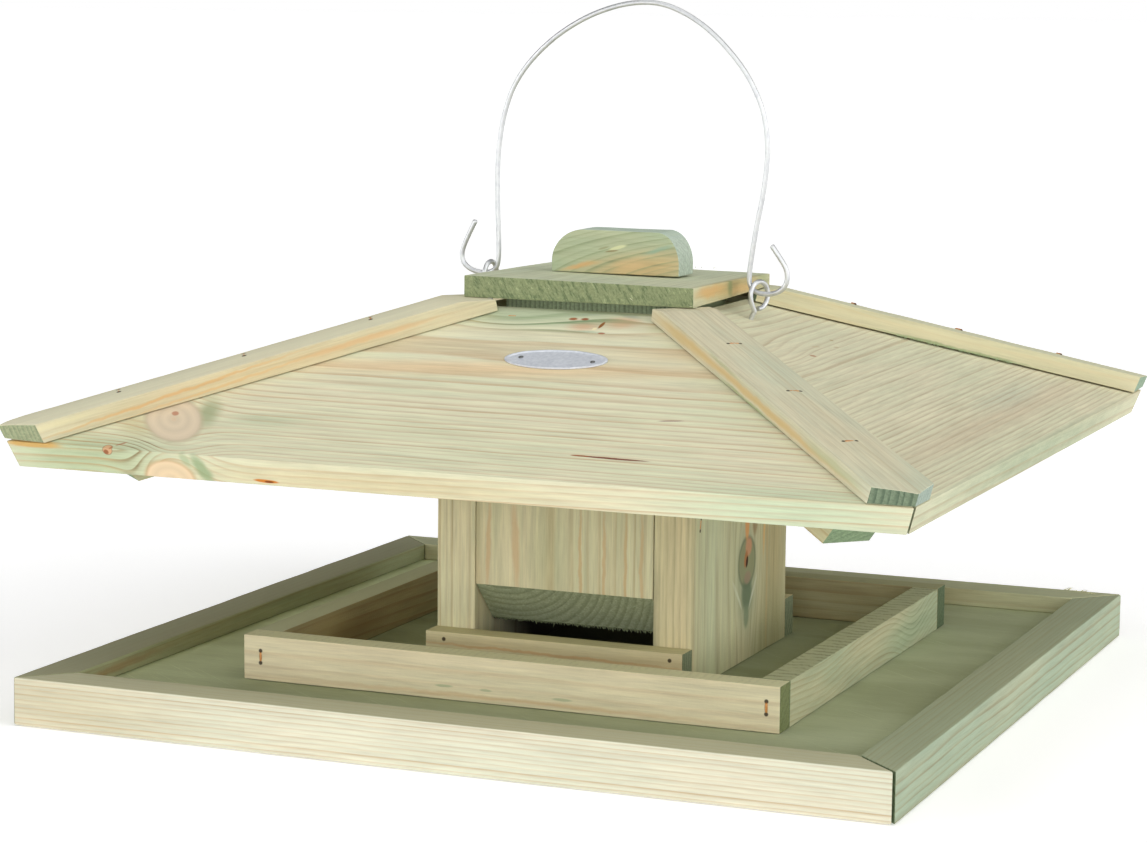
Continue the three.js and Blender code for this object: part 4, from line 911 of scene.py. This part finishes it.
# ------------------------------------------------------------------ metal
def wire_mat():
    t = Tree("galvanised_wire")
    tc = t.new("ShaderNodeTexCoord")
    n = t.noise(tc.outputs["Object"], 260.0, 2.0, 0.5)
    fine = t.noise(tc.outputs["Object"], 1400.0, 2.0, 0.5)
    c = t.ramp(n, [(0.3, lin((203, 205, 208))), (0.55, lin((217, 219, 220))), (0.75, lin((209, 210, 210)))])
    t.put(c, t.bsdf.inputs["Base Color"])
    t.put(t.step(fine, 0.3, 0.7, 0.46, 0.40, smooth=False), t.bsdf.inputs["Roughness"])
    t.bsdf.inputs["Metallic"].default_value = 0.85
    return t.mat


wire = wire_mat()


def rust_mat():
    t = Tree("staple_rust")
    tc = t.new("ShaderNodeTexCoord")
    p = t.vmath("SCALE", tc.outputs["Object"], scale=1000.0)
    x = t.math("ABSOLUTE", t.split(p)[0])
    n = t.noise(p, 1.2, 3.0, 0.6)
    c = t.ramp(n, [(0.3, lin((196, 120, 62))), (0.65, lin((226, 170, 104)))])
    # crown ends darker: rust, with painted shade where the legs go into the wood
    c = t.mix(t.step(x, 1.5, 2.6), c, lin((72, 42, 26)))
    t.put(c, t.bsdf.inputs["Base Color"])
    t.put(t.step(n, 0.3, 0.7, 0.7, 0.4, smooth=False), t.bsdf.inputs["Roughness"])
    t.bsdf.inputs["Metallic"].default_value = 0.45
    t.put(t.bump(n, 0.3, 0.0001), t.bsdf.inputs["Normal"])
    return t.mat


rust = rust_mat()


def plate_mat():
    t = Tree("plate_aluminium")
    tc = t.new("ShaderNodeTexCoord")
    p = t.vmath("SCALE", tc.outputs["Object"], scale=1000.0)
    n = t.noise(p, 0.5, 4.0, 0.6)
    b = t.noise(t.vmath("MULTIPLY", p, (0.15, 3.0, 3.0)), 1.0, 2.0, 0.6)
    t.put(t.ramp(n, [(0.3, lin((208, 213, 222))), (0.7, lin((230, 234, 240)))]), t.bsdf.inputs["Base Color"])
    t.put(t.step(b, 0.3, 0.7, 0.36, 0.55, smooth=False), t.bsdf.inputs["Roughness"])
    t.bsdf.inputs["Metallic"].default_value = 0.35
    t.put(t.bump(n, 0.2, 0.0004), t.bsdf.inputs["Normal"])
    return t.mat


plate = plate_mat()


def zinc_mat():
    t = Tree("zinc_screw")
    tc = t.new("ShaderNodeTexCoord")
    n = t.noise(tc.outputs["Object"], 600.0, 3.0, 0.6)
    t.put(t.ramp(n, [(0.3, lin((150, 124, 66))), (0.7, lin((206, 184, 120)))]), t.bsdf.inputs["Base Color"])
    t.put(t.step(n, 0.3, 0.7, 0.5, 0.3, smooth=False), t.bsdf.inputs["Roughness"])
    t.bsdf.inputs["Metallic"].default_value = 1.0
    return t.mat


zinc = zinc_mat()
for n_, o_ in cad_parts.items():
    if "_screw_" in n_:
        o_.data.materials.clear()
        o_.data.materials.append(zinc)


def tube(name, pts, radius, body, nodes, mat, sides=20, samples=10, taper=None, matrix=Matrix.Identity(4)):
    """Round wire along a smooth path given in millimetres."""
    P = [Vector(p) for p in pts]
    path = []
    n = len(P)
    for i in range(n - 1):
        p0, p1, p2, p3 = P[max(i - 1, 0)], P[i], P[i + 1], P[min(i + 2, n - 1)]
        for k in range(samples):
            t = k / samples
            path.append(0.5 * ((2 * p1) + (p2 - p0) * t + (2 * p0 - 5 * p1 + 4 * p2 - p3) * t * t
                               + (3 * p1 - p0 - 3 * p2 + p3) * t ** 3))
    path.append(P[-1])
    bm = bmesh.new()
    rings = []
    tangent = (path[1] - path[0]).normalized()
    nrm = tangent.orthogonal().normalized()
    for i, c in enumerate(path):
        tg = (path[min(i + 1, len(path) - 1)] - path[max(i - 1, 0)]).normalized()
        nrm = (nrm - tg * nrm.dot(tg)).normalized()
        bi = tg.cross(nrm)
        rr = radius * (taper(i / (len(path) - 1)) if taper else 1.0)
        rings.append([bm.verts.new((c + (nrm * math.cos(2 * math.pi * s / sides) + bi * math.sin(2 * math.pi * s / sides)) * rr) * MM)
                      for s in range(sides)])
    for a, b in zip(rings, rings[1:]):
        for s in range(sides):
            ss = (s + 1) % sides
            bm.faces.new((a[s], a[ss], b[ss], b[s]))
    for ring_, flip in ((rings[0], True), (rings[-1], False)):
        bm.faces.new(list(reversed(ring_)) if flip else ring_)
    return finish_mesh(bm, name, matrix, mat, body, nodes, 50)


BAIL = [
    (-73.5, 213.3), (-76.6, 207.3), (-79.2, 201.7), (-80.4, 197.3), (-79.6, 193.3), (-76.4, 190.4),
    (-72.0, 189.0), (-68.0, 188.8), (-64.7, 189.7), (-62.4, 192.1), (-61.5, 196.9), (-61.5, 204.2),
    (-62.2, 221.3), (-62.3, 238.4), (-61.4, 250.4), (-59.2, 262.9), (-54.6, 275.9), (-46.4, 287.9),
    (-33.8, 299.5), (-19.0, 308.5), (-4.2, 314.0), (8.6, 316.1), (19.6, 315.3), (30.0, 311.5),
    (41.0, 304.8), (51.7, 295.1), (61.2, 283.3), (68.2, 269.2), (71.0, 255.4), (71.0, 243.4),
    (69.3, 229.2), (66.6, 214.8), (64.4, 200.3), (63.6, 192.5), (64.2, 188.5), (66.3, 186.0),
    (69.7, 185.0), (74.0, 185.0), (78.0, 186.3), (80.8, 189.0), (81.9, 192.9), (81.0, 197.1),
    (77.8, 202.1), (74.0, 207.3),
]


def blunt(t):
    """Rounded cut ends."""
    d = min(t, 1 - t)
    return 0.72 if d < 1e-6 else 1.0


tube("bail_wire_round", [(x, 1.5, z) for x, z in BAIL], 1.17, "bail", ["bail_wire"], wire, samples=8, taper=blunt)


def eye_points(centre, side):
    c = Vector(centre)
    turn, lean = math.radians(20 if side > 0 else -4), math.radians(24)
    e = Vector((side * math.sin(turn), math.cos(turn), 0))

    def ring(s, t):
        return c + e * s + Vector((0, 0, t))
    down = Vector((-side * math.sin(lean), 0, -math.cos(lean)))
    neck = ring(-3.35, -7.3)
    t = 0.0
    while (neck + down * t).z > EAVE_Z + (EAVE - abs((neck + down * t).x)) * TAN:
        t += 0.05
    foot = neck + down * t
    tip = foot + down * 30
    pts = [tip] + [tip.lerp(foot, k / 5) for k in range(1, 5)] + [foot, neck.lerp(foot, 0.4), neck, ring(-4.0, -5.9), ring(-5.25, -3.7)]
    a = 196.0
    while a >= -98:
        ra = math.radians(a)
        pts.append(ring(6.2 * math.cos(ra), 6.2 * math.sin(ra)))
        a -= 24.5
    return pts


tube("screw_eye_right_wire", eye_points((68.5, 1.5, 184.2), 1), 1.13, "table", ["screw_eye_right"], wire)
tube("screw_eye_left_wire", eye_points((-65.6, 1.5, 187.9), -1), 1.13, "table", ["screw_eye_left"], wire)


def staple(name, matrix, body, nodes, leg=25.0):
    """Flat-wire staple with rounded shoulders, sunk in the wood."""
    a = 2.4
    pts = [(-a, -leg), (-a, -2.0), (-a, -1.1), (-a + 0.2, -0.65), (-a + 0.75, -0.48), (0, -0.5), (a - 0.75, -0.48), (a - 0.2, -0.65),
           (a, -1.1), (a, -2.0), (a, -leg)]
    bm = bmesh.new()
    rings = []
    for i, (x, y) in enumerate(pts):
        d = Vector((pts[min(i + 1, 10)][0] - pts[max(i - 1, 0)][0], pts[min(i + 1, 10)][1] - pts[max(i - 1, 0)][1], 0)).normalized()
        s = Vector((-d.y, d.x, 0))
        sec = []
        for k in range(12):
            t = 2 * math.pi * k / 12
            cx, cz = math.copysign(abs(math.cos(t)) ** 0.6, math.cos(t)), math.copysign(abs(math.sin(t)) ** 0.6, math.sin(t))
            sec.append(bm.verts.new((Vector((x, y, 0)) + s * cx * 0.48 + Vector((0, 0, cz * 0.6))) * MM))
        rings.append(sec)
    for p, q in zip(rings, rings[1:]):
        for k in range(12):
            kk = (k + 1) % 12
            bm.faces.new((p[k], p[kk], q[kk], q[k]))
    bm.faces.new(list(reversed(rings[0])))
    bm.faces.new(rings[-1])
    finish_mesh(bm, name, matrix, rust, body, nodes, 50)


for name_, mm, leg in STAPLES:
    real = name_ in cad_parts
    staple(name_ + ("_wire" if real else ""), mm, "table", [name_] if real else [], leg)


# ------------------------------------------------------------------ splinters and fuzz left by the saw
def fuzz_mat(name, colour):
    t = Tree(name)
    tc = t.new("ShaderNodeTexCoord")
    n = t.noise(t.vmath("SCALE", tc.outputs["Object"], scale=1000.0), 0.9, 2.0, 0.6)
    t.put(t.mix(n, lin([v * 0.82 for v in colour]), lin([min(255, v * 1.12) for v in colour])), t.bsdf.inputs["Base Color"])
    t.put(t.step(n, 0.3, 0.7, 0.9, 0.75, smooth=False), t.bsdf.inputs["Roughness"])
    return t.mat


def slivers(name, items, mat, body):
    """Torn fibres: bent, flattened, tapering, each one closed."""
    bm = bmesh.new()
    for base, tip, width, bend in items:
        base, tip = Vector(base), Vector(tip)
        d = tip - base
        side_ = d.orthogonal().normalized()
        other = d.cross(side_).normalized()
        rings = []
        for k in range(4):
            q = k / 4
            c = base + d * q + side_ * (bend * q * q)
            w_ = width * (1 - q) ** 0.8
            rings.append([bm.verts.new((c + side_ * (w_ * 0.35 * math.sin(a_)) + other * (w_ * 0.5 * math.cos(a_))) * MM)
                          for a_ in [2 * math.pi * i_ / 6 for i_ in range(6)]])
        end_ = bm.verts.new((tip + side_ * bend) * MM)
        for p_, q_ in zip(rings, rings[1:]):
            for i_ in range(6):
                j_ = (i_ + 1) % 6
                bm.faces.new((p_[i_], p_[j_], q_[j_], q_[i_]))
        for i_ in range(6):
            bm.faces.new((rings[-1][i_], rings[-1][(i_ + 1) % 6], end_))
        bm.faces.new(list(reversed(rings[0])))
    finish_mesh(bm, name, Matrix.Identity(4), mat, body, [], 60)


rnd = random.Random(19)
low = min((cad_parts["hopper_front"].matrix_world @ Vector(c)).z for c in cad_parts["hopper_front"].bound_box) / MM
teeth = []
x = hx - 42.0
while x < hx + 42.5:
    far = (x - hx + 42) / 84
    size_ = rnd.uniform(0.35, 0.9) * (0.7 + 0.8 * far)
    if rnd.random() < 0.12:
        size_ *= 1.7
    teeth.append(((x, hy - 54.95 + 9.0, low + 0.45), (x + rnd.uniform(-0.5, 0.7), hy - 54.95 + 9.2, low - size_), rnd.uniform(0.9, 1.9), rnd.uniform(-0.2, 0.2)))
    x += rnd.uniform(0.5, 1.5)
teeth.append(((-10.5, hy - 46.2, low + 0.4), (-10.9, hy - 46.4, low - 2.1), 0.7, 0.2))
slivers("hopper_mouth_fuzz", teeth, fuzz_mat("fuzz_mouth", (118, 126, 94)), "table")


def along(frame_, points, n_, reach, spread, width, sign=(0, 0, -1)):
    out = []
    for _ in range(n_):
        q = rnd.random()
        p_ = Vector(points[0]).lerp(Vector(points[1]), q)
        j_ = Vector((rnd.uniform(-1, 1) * spread, 0, 0))
        e_ = p_ + Vector(sign) * reach * rnd.uniform(0.3, 1.0) + Vector((rnd.uniform(-1.6, 1.6), 0, 0))
        a_, b_ = frame_ @ ((p_ + j_) * MM), frame_ @ ((e_ + j_) * MM)
        out.append((a_ / MM, b_ / MM, width * rnd.uniform(0.6, 1.2), rnd.uniform(-0.25, 0.25)))
    return out


br = hip_frame("back_right")
foot_br = 0.7 - FALL * 14.0
items = along(br, ((68, -13.9, foot_br + 0.6), (140, -13.9, foot_br + 0.6)), 90, 1.7, 0.4, 0.6, (0, -0.6, -0.75))
slivers("batten_fuzz", items, fuzz_mat("fuzz_batten", (160, 178, 134)), "table")
fr_ = hip_frame("front_right")
items = along(fr_, ((5, 0.6, 5.9), (9, 4.2, 5.9)), 9, 1.5, 0.3, 0.4, (0.7, 0.2, 0.6))
slivers("batten_head_fuzz", items, fuzz_mat("fuzz_head", (206, 208, 178)), "table")
rail_b = Matrix.Translation((-0.0027, -0.001, 0)) @ ROT[2] @ axes((0, -200, 10.75), (1, 0, 0), (0, 1, 0))
items = along(rail_b, ((-170, -1, 10.4), (-190, 7, 10.4)), 26, 3.4, 0.8, 0.8, (-0.8, -0.3, 0.6))
slivers("rail_end_fuzz", items, fuzz_mat("fuzz_rail", (206, 204, 160)), "table")
lid_f = axes((0.6, 0.1, 187.45), (0, 1, 0), (-1, 0, 0))
items = along(lid_f, ((52.2, 18, 3.5), (52.2, -30, 3.5)), 26, 1.2, 0.5, 0.4, (0.5, 0, 0.7))
items += [(tuple((lid_f @ (Vector((-52.2, -25.6, -2.0)) * MM)) / MM), tuple((lid_f @ (Vector((-53.0, -27.4, -3.2)) * MM)) / MM), 0.7, 0.1)]
slivers("lid_edge_fuzz", items, fuzz_mat("fuzz_lid", (196, 200, 168)), "lid")

# oval plate: thin sheet, pressed bead round the rim, two round-headed nails
bm = bmesh.new()
N, A, B = 96, 23.8, 9.4
levels = [(1.0, 0.0), (1.0, 0.45), (0.985, 0.6), (0.955, 0.72), (0.93, 0.60), (0.915, 0.42), (0.89, 0.36), (0.6, 0.38), (0.3, 0.40)]
rings = []
for s, h in levels:
    inset = (1 - s) * A
    rings.append([bm.verts.new(((A - inset) * math.cos(2 * math.pi * k / N) * MM, (B - inset * (0.75 if s > 0.8 else B / A)) * math.sin(2 * math.pi * k / N) * MM, h * MM))
                  for k in range(N)])
for p, q in zip(rings, rings[1:]):
    for k in range(N):
        kk = (k + 1) % N
        bm.faces.new((p[k], p[kk], q[kk], q[k]))
mid = bm.verts.new((0, 0, 0.41 * MM))
for k in range(N):
    bm.faces.new((rings[-1][k], rings[-1][(k + 1) % N], mid))
bm.faces.new(list(reversed(rings[0])))
wobble = Vector((3.1, 0.2, 0))
for v in bm.verts:
    if v.co.z > 0.3 * MM:
        v.co.z += noise.noise(v.co * 160 + wobble) * 0.00012
at = Vector((10.5, -99.6, EAVE_Z + (EAVE - 99.6) * TAN)) * MM + SLOPE_UP * 0.00015
mt = Matrix.Translation(at) @ Matrix.Rotation(PITCH, 4, "X") @ Matrix.Rotation(math.radians(2.2), 4, "Z")
finish_mesh(bm, "oval_plate_sheet", mt, plate, "table", ["oval_plate"], 60)
nt_ = Tree("nail_steel")
nc_ = nt_.new("ShaderNodeTexCoord")
nn_ = nt_.noise(nc_.outputs["Object"], 900.0, 3.0, 0.6)
nt_.put(nt_.ramp(nn_, [(0.3, lin((92, 92, 90))), (0.7, lin((142, 144, 144)))]), nt_.bsdf.inputs["Base Color"])
nt_.put(nt_.step(nn_, 0.3, 0.7, 0.5, 0.35, smooth=False), nt_.bsdf.inputs["Roughness"])
nt_.bsdf.inputs["Metallic"].default_value = 0.7
nail = nt_.mat
for i, (x, y) in enumerate(((-16.4, 0.5), (17.6, -1.6))):
    bm = bmesh.new()
    prof = [(0.0, 0.75), (0.5, 0.72), (0.95, 0.58), (1.15, 0.40), (1.1, 0.2), (0.5, 0.15), (0.5, -8.0)]
    rs = [[bm.verts.new((rr * math.cos(2 * math.pi * k / 16) * MM, rr * math.sin(2 * math.pi * k / 16) * MM, hh * MM)) for k in range(16)]
          for rr, hh in prof[1:]]
    topv = bm.verts.new((0, 0, prof[0][1] * MM))
    endv = bm.verts.new((0, 0, -9 * MM))
    for k in range(16):
        bm.faces.new((topv, rs[0][k], rs[0][(k + 1) % 16]))
        bm.faces.new((endv, rs[-1][(k + 1) % 16], rs[-1][k]))
    for p, q in zip(rs, rs[1:]):
        for k in range(16):
            kk = (k + 1) % 16
            bm.faces.new((p[k], q[k], q[kk], p[kk]))
    finish_mesh(bm, f"plate_nail_{i + 1}", mt @ Matrix.Translation((x * MM, y * MM, 0.0002)), nail, "table", [], 50)

# ------------------------------------------------------------------ stage and light
bm = bmesh.new()
bmesh.ops.create_grid(bm, x_segments=2, y_segments=2, size=60)
me = bpy.data.meshes.new("studio_floor")
bm.to_mesh(me)
bm.free()
ground = bpy.data.objects.new("studio_floor", me)
ground.location = (0, 0, -0.0004)
scene.collection.objects.link(ground)
t = Tree("studio_floor")
t.bsdf.inputs["Base Color"].default_value = (0.95, 0.95, 0.95, 1)
t.bsdf.inputs["Emission Color"].default_value = (1, 1, 1, 1)
t.bsdf.inputs["Emission Strength"].default_value = 0.30
t.bsdf.inputs["Roughness"].default_value = 0.9
t.bsdf.inputs["Specular IOR Level"].default_value = 0.1
me.materials.append(t.mat)

world = bpy.data.worlds.new("studio")
scene.world = world
world.use_nodes = True
wt = world.node_tree
wb = wt.nodes["Background"]
wb.inputs[0].default_value = (1, 1, 1, 1)
# pale horizon all round, dark overhead, so that the light is low and soft
wc = wt.nodes.new("ShaderNodeTexCoord")
wx = wt.nodes.new("ShaderNodeSeparateXYZ")
wt.links.new(wc.outputs["Generated"], wx.inputs[0])
wr = wt.nodes.new("ShaderNodeMapRange")
wr.interpolation_type = "SMOOTHSTEP"
wr.inputs["From Min"].default_value = 0.12
wr.inputs["From Max"].default_value = 0.40
wr.inputs["To Min"].default_value = 1.0
wr.inputs["To Max"].default_value = 0.05
wt.links.new(wx.outputs[2], wr.inputs["Value"])
wt.links.new(wr.outputs["Result"], wb.inputs[1])


def sun(name, azimuth, elevation, energy, spread):
    """Soft light from a compass direction: azimuth 0 is the front, positive to the right."""
    a, e = math.radians(azimuth), math.radians(elevation)
    d = bpy.data.lights.new(name, "SUN")
    d.energy = energy
    d.angle = math.radians(spread)
    o = bpy.data.objects.new(name, d)
    to = Vector((math.sin(a) * math.cos(e), -math.cos(a) * math.cos(e), math.sin(e)))
    o.rotation_euler = (-to).to_track_quat("-Z", "Y").to_euler()
    o.location = to * 3
    scene.collection.objects.link(o)
    return o


sun("front", 15, 6, 0.58, 30)
sun("front_high", 10, 28, 0.36, 40)
sun("left", -50, 12, 0.90, 40)
sun("right", 65, 12, 0.20, 40)
sun("right_high", 70, 38, 0.71, 40)
sun("side", 100, 20, 0.74, 40)
sun("top", 0, 85, 1.02, 60)
